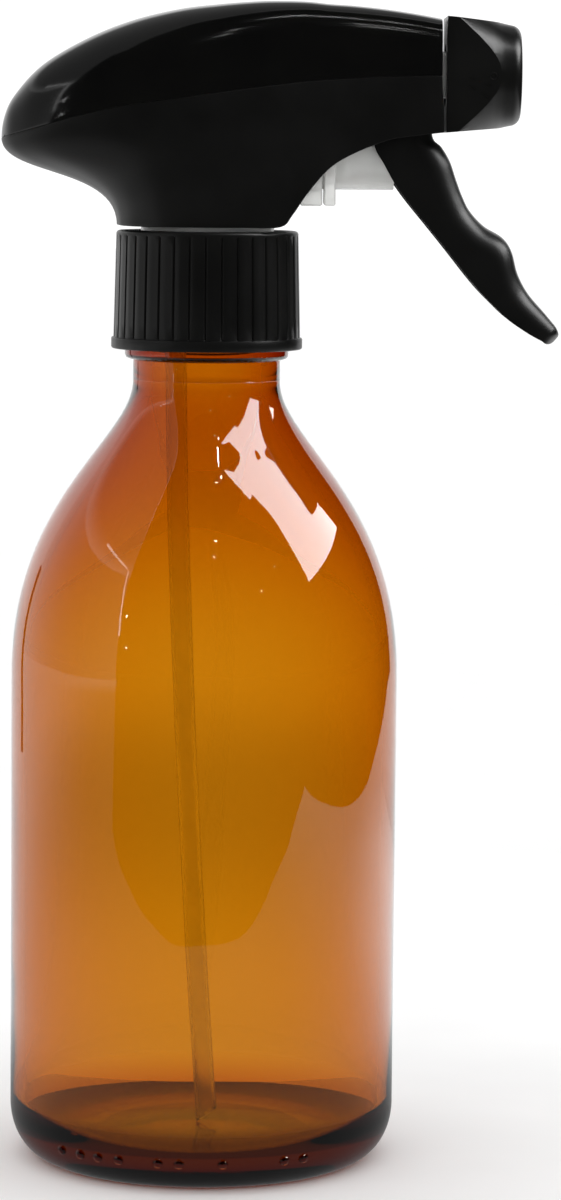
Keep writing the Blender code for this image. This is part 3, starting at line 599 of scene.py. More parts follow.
def make_closure():
    """A screw collar whose skirt is cut in broad flats with a narrow groove between them."""
    top = closure_high[2] - 0.25 * MM
    flat_top = top - 0.75 * MM
    flat_foot = FLANGE_TOP + 0.15 * MM
    # (radius, height, how much of the rib's shape it has)
    outline = [
        (CLOSURE_HOLE_R, LEDGE, 0),
        (CLOSURE_HOLE_R, top - 0.2 * MM, 0),
        (CLOSURE_HOLE_R + 0.2 * MM, top, 0),
        (SKIRT_TOP_R - 0.62 * MM, top, 0),
        (SKIRT_TOP_R - 0.3 * MM, top - 0.08 * MM, 0),
        (SKIRT_TOP_R - 0.1 * MM, top - 0.26 * MM, 0),
        (SKIRT_TOP_R, top - 0.5 * MM, 0),
        (SKIRT_TOP_R, flat_top, 0),
        (SKIRT_TOP_R, flat_top - 0.15 * MM, 1),
    ]
    for i in range(1, 8):
        t = i / 8
        outline.append(
            (
                SKIRT_TOP_R + (SKIRT_FOOT_R - SKIRT_TOP_R) * t,
                flat_top + (flat_foot - flat_top) * t,
                1,
            )
        )
    outline += [
        (SKIRT_FOOT_R, flat_foot, 1),
        (SKIRT_FOOT_R, FLANGE_TOP + 0.02 * MM, 0),
        (FLANGE_R - 0.3 * MM, FLANGE_TOP, 0),
        (FLANGE_R - 0.08 * MM, FLANGE_TOP - 0.08 * MM, 0),
        (FLANGE_R, FLANGE_TOP - 0.3 * MM, 0),
        (FLANGE_R, closure_low[2] + 0.3 * MM, 0),
        (FLANGE_R - 0.1 * MM, closure_low[2] + 0.08 * MM, 0),
        (FLANGE_R - 0.3 * MM, closure_low[2], 0),
        (CLOSURE_BORE_R + 0.5 * MM, closure_low[2], 0),
        (CLOSURE_BORE_R, closure_low[2] + 0.6 * MM, 0),
        (CLOSURE_BORE_R, LEDGE, 0),
    ]
    # Across one rib: (how far along it, how deep below the flat's edge).
    rise = ((0.0, 1.0), (0.035, 0.95), (0.085, 0.25), (0.13, 0.0))
    across = (*rise, (0.5, 0.12), (0.93, 0.0), (0.975, 0.35))
    shape = bmesh.new()
    rows = []
    for radius, height, strength in outline:
        row = []
        for rib in range(RIBS):
            for along, depth in across:
                angle = 2 * math.pi * (rib + along) / RIBS
                r = radius - RIB_DEPTH * depth * strength
                row.append(
                    shape.verts.new((AXIS_X + r * math.cos(angle), r * math.sin(angle), height))
                )
        rows.append(row)
    skin(shape, rows, close_rows=True, close_columns=True)
    closure = from_shape("ribbed_closure", shape, SATIN, sharp=30)
    ridge = thread_ridge(
        CLOSURE_BORE_R + 0.4 * MM, 12.75 * MM, 0.85 * MM, 0.4 * MM, THREAD_START - PITCH / 2
    )
    work(closure, "UNION", [ridge])
    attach(closure, "closure")
    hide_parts("closure")


# ---------------------------------------------------------------- shrouds

SHROUD_WALL = 1.2 * MM
SEAM = 0.01 * MM
# Ribs from the front to the rear tip, in millimetres from the bottle's axis: the seam's point as
# (x, half width, height), the lower shell's edge below it, and the ridge's height above it.
SHROUD_RIBS = [
    ((38.5, 10.2, 182.2), (38.9, 10.2, 173.0), 191.7),
    ((34.0, 10.2, 182.15), (34.3, 10.2, 172.4), 192.5),
    ((29.0, 10.2, 182.0), (29.6, 10.2, 171.6), 193.2),
    ((24.0, 10.3, 181.7), (23.9, 10.3, 169.3), 193.7),
    ((20.0, 10.6, 181.4), (20.0, 10.6, 166.8), 193.95),
    ((16.5, 11.0, 181.1), (16.5, 10.9, 162.7), 194.3),
    ((12.5, 11.7, 180.6), (14.2, 11.2, 159.3), 194.4),
    ((8.0, 12.5, 180.0), (12.2, 11.7, 157.3), 194.3),
    ((2.0, 13.5, 179.15), (6.0, 12.9, 157.15), 193.8),
    ((-5.0, 14.2, 178.1), (-1.0, 13.4, 157.15), 192.9),
    ((-13.0, 14.0, 177.0), (-7.5, 12.2, 157.15), 190.9),
    ((-20.5, 12.6, 175.3), (-11.6, 9.4, 157.15), 187.8),
    ((-27.5, 9.8, 173.4), (-14.0, 6.0, 157.2), 183.6),
    ((-32.0, 5.9, 172.2), (-14.95, 2.9, 157.3), 178.8),
    ((-33.8, 2.9, 171.7), (-15.1, 1.3, 157.3), 175.3),
    ((-34.4, 0.0, 171.5), (-15.15, 0.0, 157.3), 172.2),
]


def shell(name, shape, material):
    """Thicken an open surface inwards, and round its rims."""
    piece = hollow(name, shape, Vector((AXIS_X, 0, 175 * MM)), material, SHROUD_WALL)
    return round_edges(piece, 0.22 * MM, 50, sharp=60)


def make_upper_shroud():
    """The glossy top shell: arches over the seam, closing to a point at the rear tip."""
    stations = [(*seam, ridge - seam[2]) for seam, _, ridge in SHROUD_RIBS[:-1]]
    tip = SHROUD_RIBS[-1][0]
    x, half, height, rise = stations[-1]
    ghosts = [(tip[0], 0, tip[2], 0), (x, -half, height, -rise)]
    first = tuple(2 * a - b for a, b in zip(stations[0], stations[1]))
    smooth = through([first] + stations + ghosts, 6)
    angles = [0, 1.5, 4] + [180 * k / 44 for k in range(2, 43)] + [176, 178.5, 180]
    shape = bmesh.new()
    rows = []
    for x, half, seam, rise in smooth[:-1]:
        # The arch is rounder at the rear and squarer in front.
        squareness = 2.7 + 1.7 * min(1, max(0, (x + 14) / 34))
        row = []
        for angle in map(math.radians, angles):
            across = math.copysign(abs(math.cos(angle)) ** (2 / squareness), math.cos(angle))
            up = abs(math.sin(angle)) ** (2 / squareness)
            place = Vector((x, half * across, seam + rise * up)) * MM
            row.append(shape.verts.new(place + Vector((AXIS_X, 0, SEAM))))
        rows.append(row)
    skin(shape, rows)
    pole = shape.verts.new(Vector(tip) * MM + Vector((AXIS_X, 0, SEAM)))
    for k in range(len(angles) - 1):
        shape.faces.new((rows[-1][k], rows[-1][k + 1], pole))
    piece = shell("upper_shell", shape, GLOSS)
    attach(piece, "head")
    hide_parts("upper_shroud")


def make_lower_shroud():
    """The satin bottom shell: from the seam down to the skirt round the collar and the arch."""
    left = [(*seam, *foot) for seam, foot, _ in SHROUD_RIBS]
    right = [(a, -b, c, d, -e, f) for a, b, c, d, e, f in left]
    columns = through(mirrored_end(right + left[-2::-1]), 5)
    rows_at = [0, 0.012, 0.03] + [k / 26 for k in range(2, 26)] + [0.985, 1]
    shape = bmesh.new()
    rows = []
    for column in columns:
        seam = Vector(column[:3]) * MM - Vector((0, 0, SEAM))
        foot = Vector(column[3:]) * MM
        drop = Vector((0, 0, seam.z - foot.z))
        # It leaves the seam and reaches the foot upright.
        corners = (seam, seam - 0.45 * drop, foot + 0.68 * drop, foot)
        move = Vector((AXIS_X, 0, 0))
        rows.append([shape.verts.new(Vector(cubic(corners, t)) + move) for t in rows_at])
    skin(shape, rows)
    piece = shell("lower_shell", shape, SATIN)
    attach(piece, "head")
    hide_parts("lower_shroud")


# ---------------------------------------------------------------- trigger

# Cross-sections of the lever from its top to its tip, in millimetres from the bottle's axis:
# the back edge's point, the front face's point, and the half width.
TRIGGER_RIBS = [
    ((28.4, 177.6), (36.9, 178.4), 8.4),
    ((27.9, 174.2), (37.0, 175.0), 8.4),
    ((27.5, 170.8), (37.4, 172.0), 8.4),
    ((29.2, 167.6), (38.8, 170.6), 8.4),
    ((30.9, 164.6), (40.2, 168.3), 8.4),
    ((33.0, 161.7), (41.3, 165.2), 8.4),
    ((35.9, 158.2), (42.3, 162.6), 8.4),
    ((38.3, 155.3), (43.6, 160.1), 8.4),
    ((40.9, 152.1), (46.0, 157.6), 8.4),
    ((43.3, 149.1), (49.0, 155.8), 8.3),
    ((45.3, 146.8), (50.6, 153.6), 8.1),
    ((47.6, 144.5), (51.7, 149.8), 7.8),
    ((50.1, 142.2), (53.5, 146.5), 7.4),
    ((53.4, 140.0), (56.2, 143.4), 7.0),
    ((55.8, 138.7), (58.0, 141.3), 6.6),
]
TRIGGER_WALL = 1.25 * MM


def trigger_section(back, front, half, samples=12):
    """An open trough seen from the end: one side, a rounded corner, the crowned front, and back."""
    run = Vector((front[0] - back[0], front[1] - back[1]))
    depth = run.length
    corner = min(3.9, 0.66 * depth)
    crown = 0.15
    bend = depth - corner - crown
    flat = half - corner
    half_outline = [(0.0, half), (0.5 * bend, half), (bend, half)]
    half_outline += [
        (bend + corner * math.sin(a), flat + corner * math.cos(a))
        for a in (math.pi / 2 * k / samples for k in range(1, samples))
    ]
    for k in range(9):
        side = flat * (1 - k / 8)
        half_outline.append((depth - crown * (side / flat) ** 2, side))
    other = [(along, -side) for along, side in reversed(half_outline[:-1])]
    unit = run / depth
    return [
        Vector((back[0] + unit.x * along, side, back[1] + unit.y * along)) * MM
        + Vector((AXIS_X, 0, 0))
        for along, side in half_outline + other
    ]


def make_trigger():
    """A trough-shaped lever with a crowned finger face and a closed, hooked tip."""
    ribs = [(*back, *front, half) for back, front, half in TRIGGER_RIBS]
    smooth = through(mirrored_end(ribs), 6)
    shape = bmesh.new()
    rows = []
    for bx, bz, fx, fz, half in smooth:
        section = trigger_section((bx, bz), (fx, fz), half)
        rows.append([shape.verts.new(point) for point in section])
    skin(shape, rows)
    # The tip: the last sections shrink onto the hooked end.
    tip = Vector((58.6, 0, 139.2)) * MM + Vector((AXIS_X, 0, 0))
    last = [vertex.co.copy() for vertex in rows[-1]]
    closing = []
    for k in range(1, 7):
        angle = math.pi / 2 * k / 7
        shrink, advance = math.cos(angle), math.sin(angle)
        middle = sum(last, Vector()) / len(last)
        closing.append(
            [
                shape.verts.new(middle + (point - middle) * shrink + (tip - middle) * advance)
                for point in last
            ]
        )
    skin(shape, [rows[-1]] + closing)
    pole = shape.verts.new(tip)
    for k in range(len(last) - 1):
        shape.faces.new((closing[-1][k], closing[-1][k + 1], pole))
    inside = Vector((AXIS_X + 30 * MM, 0, 160 * MM))
    return settle(hollow("lever", shape, inside, SATIN, TRIGGER_WALL))


def finish_trigger(lever):
    """The arms, the pivots and the pushing nose, joined to the lever."""
    px, pz = PIVOT.x, PIVOT.z
    swing = math.radians(joints["trigger_squeeze"]["range_deg"][1]) / 2
    push = 12.9 * MM
    nose = Vector((px + push * math.sin(swing), 0, pz - push * math.cos(swing)))
    clear = [block((px - 20 * MM, -7.2 * MM, 174.6 * MM), (px + 12 * MM, 7.2 * MM, 192 * MM))]
    # The hollow also clears the pump cylinder when the lever is squeezed right back.
    room = bar((AXIS_X + 20 * MM, 0, PUMP_Z), (pump_high[0] + 0.3 * MM, 0, PUMP_Z), 7.1 * MM, 96)
    squeezed = Matrix.Rotation(-2 * swing, 4, "Y")
    room.matrix_world = Matrix.Translation(PIVOT) @ squeezed @ Matrix.Translation(-PIVOT)
    work(lever, "DIFFERENCE", clear + [room])
    joined = []
    for side in (-1, 1):
        joined.append(bar((px, side * 7.2 * MM, pz), (px, side * 8.4 * MM, pz), 3.2 * MM))
        joined.append(bar((px, side * 5.4 * MM, pz), (px, side * 7.8 * MM, pz), 1.5 * MM))
        arm = slab(
            [
                (28.6 * MM, 176.0 * MM),
                (36.9 * MM, 176.0 * MM),
                (36.6 * MM, 180.5 * MM),
                (35.7 * MM, 182.6 * MM),
                (29.5 * MM, 182.6 * MM),
            ],
            0.55 * MM,
        )
        arm.location.y = side * 7.8 * MM
        joined.append(arm)
    low = (nose.x, -2.5 * MM, nose.z - 0.96 * MM)
    joined.append(block(low, (AXIS_X + 38 * MM, 2.5 * MM, nose.z + 0.96 * MM)))
    half_length = Vector((0, 2.45 * MM, 0))
    joined.append(bar(nose - half_length, nose + half_length, 1.2 * MM))
    work(lever, "UNION", joined)
    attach(lever, "trigger")
    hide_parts("trigger")


# ---------------------------------------------------------------- nozzle


def make_nozzle():
    """A rounded cone whose four sides are planed flat: square at the back, round in front."""
    front, back = NOZZLE_FRONT - AXIS_X, NOZZLE_BACK - AXIS_X
    outline = [
        (3.3 * MM, front - 0.1 * MM),
        (3.6 * MM, front),
        *arc((6.5 * MM, front - 1.8 * MM), (1.8 * MM, 1.8 * MM), 90, 6, 10),
        (8.5 * MM, front - 2.6 * MM),
        (8.72 * MM, back + 9.0 * MM),
        (9.5 * MM, back + 7.7 * MM),
        (10.35 * MM, back + 6.3 * MM),
        (11.8 * MM, back + 4.0 * MM),
        (13.4 * MM, back + 1.6 * MM),
        (13.4 * MM, back + 0.5 * MM),
        (13.2 * MM, back),
        (5.3 * MM, back),
        (5.3 * MM, back + 10.0 * MM),
        (3.3 * MM, back + 10.0 * MM),
    ]
    cap = turned("nozzle", outline, NOZZLE_BLACK, 144, z=SPRAY_Z, along_x=True)
    prism = bar(
        (NOZZLE_BACK - 1 * MM, 0, 0),
        (NOZZLE_FRONT + 1 * MM, 0, 0),
        9.6 * MM * math.sqrt(2),
        sides=4,
        end_radius=8.3 * MM * math.sqrt(2),
    )
    prism.rotation_euler = (math.radians(45), 0, 0)
    prism.location = (0, 0, SPRAY_Z)
    work(cap, "INTERSECT", [prism])
    round_edges(cap, 0.28 * MM, 18)
    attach(cap, "nozzle")
    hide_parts("nozzle_cap")


# Strokes on the nozzle's side: (start x, start z, length) in millimetres, and degrees of slope.
NOZZLE_STROKES = (
    (42.6, 180.8, 1.5, -24),
    (42.9, 181.9, 1.3, -8),
    (45.2, 181.0, 1.4, -9),
    (44.9, 179.6, 1.6, -30),
)


def on_nozzle_side(x, z, side):
    """A place on the nozzle's tapered side, from millimetres along it and up."""
    taper = 0.09
    half = 9.52 * MM - (AXIS_X + x * MM - NOZZLE_BACK) * taper
    return Vector((AXIS_X + x * MM, side * half, z * MM))


def make_nozzle_marks():
    """Plain raised marks on two sides of the nozzle: a small ring and a few strokes."""
    shape = bmesh.new()
    ring_r, wire = 0.55 * MM, 0.09 * MM
    for side in (-1, 1):
        for start_x, start_z, length, slope in NOZZLE_STROKES:
            turn = math.radians(slope)
            x = start_x + length / 2 * math.cos(turn)
            middle = on_nozzle_side(x, start_z + length / 2 * math.sin(turn), side)
            size = Matrix.Diagonal((length * MM, 0.16 * MM, 0.16 * MM, 1))
            matrix = Matrix.Translation(middle) @ Matrix.Rotation(-turn, 4, "Y") @ size
            bmesh.ops.create_cube(shape, size=1, matrix=matrix)
        centre = on_nozzle_side(46.9, 182.3, side)
        rings = []
        for k in range(24):
            angle = 2 * math.pi * k / 24
            ring = []
            for j in range(8):
                around = 2 * math.pi * j / 8
                r = ring_r + wire * math.cos(around)
                out = Vector((r * math.cos(angle), wire * math.sin(around), r * math.sin(angle)))
                ring.append(shape.verts.new(centre + out))
            rings.append(ring)
        skin(shape, rings, close_rows=True, close_columns=True)
    marks = from_shape("nozzle_marks", shape, NOZZLE_BLACK)
    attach(marks, "nozzle")


def make_nozzle_insert():
    """The orifice disc: a dished face round a fine hole."""
    low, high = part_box("nozzle_insert")
    back, front = low[0] - AXIS_X, high[0] - AXIS_X
    radius = (high[2] - low[2]) / 2
    outline = [
        (0.3 * MM, front - 0.75 * MM),
        (0.6 * MM, front - 0.62 * MM),
        (1.7 * MM, front - 0.06 * MM),
        (1.9 * MM, front),
        (radius, front),
        (radius, back),
        (0.3 * MM, back),
    ]
    insert = turned(
        "orifice", softened(outline, 0.12 * MM), NOZZLE_BLACK, 64, z=SPRAY_Z, along_x=True
    )
    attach(insert, "nozzle")
    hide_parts("nozzle_insert")


# ---------------------------------------------------------------- sprayer body and pump


def make_sprayer_body():
    """Collar, column, barrel, pump socket and web, moulded in one, with their passages."""
    inlet = AXIS_X - 5.3 * MM
    collar = [
        (0, 158.0 * MM),
        (11.1 * MM, 158.0 * MM),
        (11.1 * MM, 154.9 * MM),
        (13.3 * MM, 154.9 * MM),
        (13.3 * MM, 154.0 * MM),
        (0, 154.0 * MM),
    ]
    body = turned("moulded_body", softened(collar, 0.25 * MM, 3, closed=False), NATURAL, 96)
    tip, step = 46.6 * MM, 38.2 * MM
    barrel = bar((AXIS_X - 10.2 * MM, 0, SPRAY_Z), (AXIS_X + step, 0, SPRAY_Z), 4.7 * MM)
    nose = bar((AXIS_X + step - 1 * MM, 0, SPRAY_Z), (AXIS_X + tip, 0, SPRAY_Z), 3.9 * MM)
    column = bar((inlet, 0, 157 * MM), (inlet, 0, SPRAY_Z), 4.6 * MM)
    socket = bar((inlet, 0, PUMP_Z), (AXIS_X + 16.4 * MM, 0, PUMP_Z), 8.3 * MM, 64)
    housing = block(
        (AXIS_X + 15.4 * MM, -8.6 * MM, 160.8 * MM),
        (AXIS_X + 19.0 * MM, 8.6 * MM, 178.9 * MM),
        0.35 * MM,
    )
    ears = block(
        (PIVOT.x - 3.6 * MM, -6.9 * MM, PIVOT.z - 3.1 * MM),
        (PIVOT.x + 3.4 * MM, 6.9 * MM, PIVOT.z + 2.9 * MM),
        0.4 * MM,
    )
    web = slab(
        [
            (-10.5 * MM, 157.6 * MM),
            (11 * MM, 157.6 * MM),
            (14 * MM, 161.5 * MM),
            (14 * MM, 180 * MM),
            (27 * MM, 183 * MM),
            (27 * MM, 190.9 * MM),
            (16 * MM, 191.9 * MM),
            (4 * MM, 191.4 * MM),
            (-6 * MM, 189.6 * MM),
            (-10.5 * MM, 186 * MM),
        ],
        0.8 * MM,
    )
    work(body, "UNION", [column, barrel, nose, socket, housing, ears, web])
    cuts = [
        bar((inlet, 0, 153 * MM), (inlet, 0, 159.5 * MM), 3.6 * MM),
        bar((inlet, 0, 159 * MM), (inlet, 0, 164 * MM), 2.3 * MM),
        bar((inlet, 0, 163 * MM), (inlet, 0, SPRAY_Z), 1.6 * MM, 32),
        bar((inlet, 0, PUMP_Z), (AXIS_X + 11 * MM, 0, PUMP_Z), 1.2 * MM, 28),
        bar((AXIS_X + 10.5 * MM, 0, PUMP_Z), (AXIS_X + 20 * MM, 0, PUMP_Z), 6.9 * MM, 72),
        bar((inlet - 1.5 * MM, 0, SPRAY_Z), (AXIS_X + 48 * MM, 0, SPRAY_Z), 2.6 * MM, 44),
    ]
    for side in (-1, 1):
        cuts.append(
            bar((PIVOT.x, side * 5.1 * MM, PIVOT.z), (PIVOT.x, side * 8 * MM, PIVOT.z), 1.8 * MM)
        )
    work(body, "DIFFERENCE", cuts)
    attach(body, "head")
    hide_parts("sprayer_body")


def make_pump_cylinder():
    """A turned cylinder with a squared flange that butts against the body."""
    front, back = pump_high[0] - AXIS_X, pump_low[0] - AXIS_X
    flange_back, flange_front = 19.3 * MM, 21.2 * MM
    outline = [
        (5.8 * MM, front),
        (6.8 * MM, front),
        (6.8 * MM, flange_back),
        (6.6 * MM, flange_back - 0.3 * MM),
        (6.6 * MM, back),
        (1.2 * MM, back),
        (1.2 * MM, back + 1.2 * MM),
        (5.8 * MM, back + 1.2 * MM),
    ]
    cylinder = turned(
        "cylinder", softened(outline, 0.2 * MM), NATURAL, 96, z=PUMP_Z, along_x=True
    )
    flange = block(
        (AXIS_X + flange_back, -8.6 * MM, pump_low[2]),
        (AXIS_X + flange_front, 8.6 * MM, pump_high[2]),
        0.3 * MM,
    )
    work(cylinder, "UNION", [flange])
    # The flange's middle is bored out again, a hair wider so that no two faces lie on each other.
    start = (AXIS_X + flange_back - 1 * MM, 0, PUMP_Z)
    end = (AXIS_X + front + 1 * MM, 0, PUMP_Z)
    work(cylinder, "DIFFERENCE", [bar(start, end, 5.83 * MM, 90)])
    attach(cylinder, "head")
    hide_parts("pump_cylinder")


def make_return_spring():
    """A steel coil with closed ends, squeezed between the cylinder's floor and the piston."""
    start, end = spring_low[0], spring_high[0]
    wire, coil_r = 0.4 * MM, 4.0 * MM
    per_turn, around = 40, 12
    # (turns passed, how far along): the end coils lie close, the rest are evenly open.
    course = [(0, start + wire), (1, start + wire * 3.2), (6, end - wire * 3.2), (7, end - wire)]
    shape = bmesh.new()
    rows = []
    for (turn_a, x_a), (turn_b, x_b) in zip(course, course[1:]):
        steps = (turn_b - turn_a) * per_turn
        for i in range(steps + (turn_b == 7)):
            angle = 2 * math.pi * (turn_a + i / per_turn)
            out = Vector((0, math.cos(angle), math.sin(angle)))
            middle = Vector((x_a + (x_b - x_a) * i / steps, 0, PUMP_Z)) + out * coil_r
            row = []
            for k in range(around):
                side = 2 * math.pi * k / around
                spot = middle + (out * math.cos(side) + Vector((1, 0, 0)) * math.sin(side)) * wire
                row.append(shape.verts.new(spot))
            rows.append(row)
    skin(shape, rows, close_columns=True)
    shape.faces.new(rows[0])
    shape.faces.new(rows[-1])
    spring = from_shape("coil_spring", shape, STEEL)
    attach(spring, "piston")
    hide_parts("return_spring")
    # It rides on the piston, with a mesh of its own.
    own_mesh(spring)


def make_dip_tube():
    """The tube leans and bows to the floor, and its end is cut on a slant."""
    top = (-5.3, 0, 151.7)
    low = (0.9, 0, 6.0)
    path = bezier((top, (-5.3, 0, 110), (-2.5, 0, 50), low), 60)
    outer, inner, sides = 1.8, 1.25, 32
    shape = bmesh.new()
    rows = []
    for radius in (outer, inner):
        run = path if radius == outer else path[::-1]
        for i, place in enumerate(run):
            ahead = run[min(i + 1, len(run) - 1)]
            behind = run[max(i - 1, 0)]
            along = Vector(ahead) - Vector(behind)
            if radius == inner:
                along.negate()
            across = Vector((0, 1, 0)).cross(along).normalized()
            at_low_end = place == path[-1]
            row = []
            for k in range(sides):
                angle = 2 * math.pi * k / sides
                out = across * radius * math.cos(angle) + Vector((0, radius * math.sin(angle), 0))
                slant = Vector((0, 0, 0.62 * out.x)) if at_low_end else Vector()
                spot = (Vector(place) + out + slant) * MM
                row.append(shape.verts.new(spot + Vector((AXIS_X, 0, 0))))
            rows.append(row)
    skin(shape, rows, close_rows=True, close_columns=True)
    tube = from_shape("tube", shape, TUBE)
    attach(tube, "head")
    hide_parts("dip_tube")


def dress_inner_pieces():
    """The pieces whose CAD shape stays, each with the material of the real one."""
    wear = {
        "closure_liner": FOAM,
        "tube_retainer": NATURAL,
        "cylinder_seal": RUBBER,
        "inlet_ball": STEEL,
        "piston_cup": RUBBER,
        "piston_rod": NATURAL,
        "outlet_valve": RUBBER,
        "spinner": NATURAL,
        "nozzle_seal": RUBBER,
    }
    for name, material in wear.items():
        node = frame["nodes"][name]
        for slot in node.material_slots:
            slot.material = material


# ---------------------------------------------------------------- studio


def white_floor():
    """Twelve metres square, so that its edge is far from every view."""
    mesh = bpy.data.meshes.new("floor")
    corners = [(-6, -6, 0), (6, -6, 0), (6, 6, 0), (-6, 6, 0)]
    mesh.from_pydata(corners, [], [(0, 1, 2, 3)])
    put("floor", mesh, PAPER)


def card(name, corners, radiance, seen_in="glossy"):
    """A flat card that shows only in reflections, or only through glass: black, or glowing."""
    mesh = bpy.data.meshes.new(name)
    mesh.from_pydata(corners, [], [tuple(range(len(corners)))])
    made, tree = blank(name)
    strength = radiance(tree) if callable(radiance) else radiance
    finish_with(tree, add(tree, "Emission", Color=(1, 1, 1, 1), Strength=strength))
    piece = put(name, mesh, made)
    for kind in ("camera", "diffuse", "glossy", "transmission", "volume_scatter", "shadow"):
        setattr(piece, "visible_" + kind, kind == seen_in)


def product(*shades):
    """Several radiances multiplied together."""

    def strength(tree):
        result = shades[0](tree)
        for shade in shades[1:]:
            times = add(tree, "Math", {"operation": "MULTIPLY"})
            tree.links.new(result, times.inputs[0])
            tree.links.new(shade(tree), times.inputs[1])
            result = times.outputs[0]
        return result

    return strength


def shaded_round(centre, near, far, dim, bright):
    """Radiance that changes from one value at a place to another all round it."""

    def strength(tree):
        place = add(tree, "TexCoord").outputs["Object"]
        away = add(tree, "VectorMath", {"operation": "DISTANCE"})
        tree.links.new(place, away.inputs[0])
        away.inputs[1].default_value = centre
        rise = add(
            tree,
            "MapRange",
            {"interpolation_type": "SMOOTHSTEP"},
            Value=away.outputs["Value"],
            From_Min=near,
            From_Max=far,
            To_Min=dim,
            To_Max=bright,
        )
        return rise.outputs["Result"]

    return strength


def heading(degrees, distance, height=0.0):
    """A place seen from the bottle: 0 is towards the camera, and 90 is to its right."""
    turn = math.radians(degrees)
    return (AXIS_X + distance * math.sin(turn), -distance * math.cos(turn), height)


# The unlit side of the room, from left to right round the camera, in degrees.
DARK_FROM, DARK_TO = -52, 146
# Where the white sheet on the floor ends, in front and to the right.
SHEET_FRONT, SHEET_RIGHT = -0.235, 0.412
ROOM_R = 1.3
PANEL_R = 1.25
CEILING_Z = 0.78
# How high the cards on the floor lie.
ON_FLOOR = 0.3 * MM


def dark_room():
    """The unlit side: a curved wall, a roof, and the floor beyond the white sheet."""
    tall, steps = 1.6, 18
    turns = [DARK_FROM + (DARK_TO - DARK_FROM) * k / steps for k in range(steps + 1)]
    for i, (a, b) in enumerate(zip(turns, turns[1:])):
        foot = [heading(a, ROOM_R), heading(b, ROOM_R)]
        top = [heading(b, ROOM_R, tall), heading(a, ROOM_R, tall)]
        card(f"dark_wall_{i + 1}", foot + top, 0.0)
        card(f"dark_roof_{i + 1}", [top[1], top[0], (AXIS_X, 0, tall)], 0.0)
    right_back = (SHEET_RIGHT, -SHEET_RIGHT / math.tan(math.radians(DARK_TO)), ON_FLOOR)
    ahead = [heading(turn, 3, ON_FLOOR) for turn in (DARK_FROM, 0, 60)]
    left, right = sheet_front()
    card("dark_floor_in_front", [left, *ahead, right], 0.0)
    side = [heading(turn, 3, ON_FLOOR) for turn in (60, 100, DARK_TO)]
    card("dark_floor_to_the_right", [right, *side, right_back], 0.0)


def sheet_front():
    """The left and the right end of the white sheet's front edge."""
    left = heading(DARK_FROM, -SHEET_FRONT / math.cos(math.radians(DARK_FROM)), ON_FLOOR)
    return left, (SHEET_RIGHT, SHEET_FRONT, ON_FLOOR)


def shaded_sheet():
    """The white sheet as the glass shows it, with painted shade where it is dimmer than the light makes
    it and one painted pool of light.
    """
    left, right = sheet_front()
    far_left = heading(DARK_FROM, 2.4, ON_FLOOR)
    back = [(SHEET_RIGHT, 0.3, ON_FLOOR), (-1.5, 0.3, ON_FLOOR), (-1.5, -1.2, ON_FLOOR)]
    # Painted shade near the sheet's front edge, to the left and round the bottle's foot, and a painted
    # pool of light behind to the right.
    shade_near_front_edge = shaded_round((0.05, -0.22, 0), 0.08, 0.36, 0.36, 1.0)
    shade_on_the_left = shaded_round((-0.4, -0.3, 0), 0.1, 0.55, 0.25, 1.0)
    foot = shaded_round((AXIS_X, 0, 0), 0.045, 0.14, 0.35, 1.0)
    painted_pool_of_light = shaded_round((0.21, 0.15, 0), 0.02, 0.22, 1.7, 1.0)
    strength = product(shade_near_front_edge, shade_on_the_left, foot, painted_pool_of_light)
    card("front_of_the_sheet", [far_left, left, right, *back], strength)
    # Hardly any light gets under the bottle's foot: the dim disc there is painted shadow, seen only
    # through the glass.
    under = [heading(5 * k, 38 * MM, 0.01 * MM) for k in range(72)]
    card("shade_under_the_bottle", under, 0.12, seen_in="transmission")
    # Painted shade behind the bottle, as the glass shows the sheet: dim in the middle, brighter further
    # out.
    start, end = 0.036, 4
    behind = [(-1.5, start), (1.5, start), (1.5, end), (-1.5, end)]
    strength = shaded_round((0, 0.38, 0), 0.02, 0.27, 0.78, 1.1)
    card("shaded_back_of_the_sheet", [(x, y, ON_FLOOR) for x, y in behind], strength, seen_in="transmission")


def panels():
    """A dim ceiling on the lit side, a panel at the left, and a dark gap behind it."""
    fading = shaded_round((AXIS_X, 0, CEILING_Z), 0.7 * ROOM_R, ROOM_R, 0.3, 1.1)
    peak = (AXIS_X, 0, CEILING_Z)
    for i in range(9):
        a, b = (DARK_TO + (360 + DARK_FROM - DARK_TO) * k / 9 for k in (i, i + 1))
        corners = [heading(a, ROOM_R, CEILING_Z), heading(b, ROOM_R, CEILING_Z), peak]
        card(f"dim_ceiling_{i + 1}", corners, fading)
    strength = shaded_round(heading(-75, PANEL_R, 0.6), 0.2, 1.7, 0.3, 1.1)
    for i in range(6):
        a, b = (DARK_FROM - 14 * k for k in (i, i + 1))
        card(f"left_panel_{i + 1}", upright_card(a, b, PANEL_R, 0, CEILING_Z), strength)
    card("gap_between_panels", upright_card(-132.5, -136, 0.5, 0, 0.17), 0.0)


def upright_card(start, end, distance, low, high):
    """The corners of a standing card between two headings and two heights."""
    foot = [heading(start, distance, low), heading(end, distance, low)]
    return foot + [heading(end, distance, high), heading(start, distance, high)]


# The strip light's two edges as directions from the glass, from its low end to its high end.
STRIP_NEAR = ((0.89, -0.24, 0.39), (0.61, -0.25, 0.75), (0.32, -0.3, 0.9), (0.21, -0.34, 0.92))
STRIP_FAR = ((0.78, 0.49, 0.39), (0.72, 0.3, 0.63), (0.57, -0.06, 0.82), (0.46, -0.32, 0.83))
# Small bare lamps far off, as (heading, elevation) in degrees.
LAMPS = (
    (26, 65.5),
    (24, 67.5),
    (18, 65),
    (9.5, 47),
    (8, 41),
    (39, 25.5),
    (53, 33),
    (-46, 5),
    (-48, 15),
)


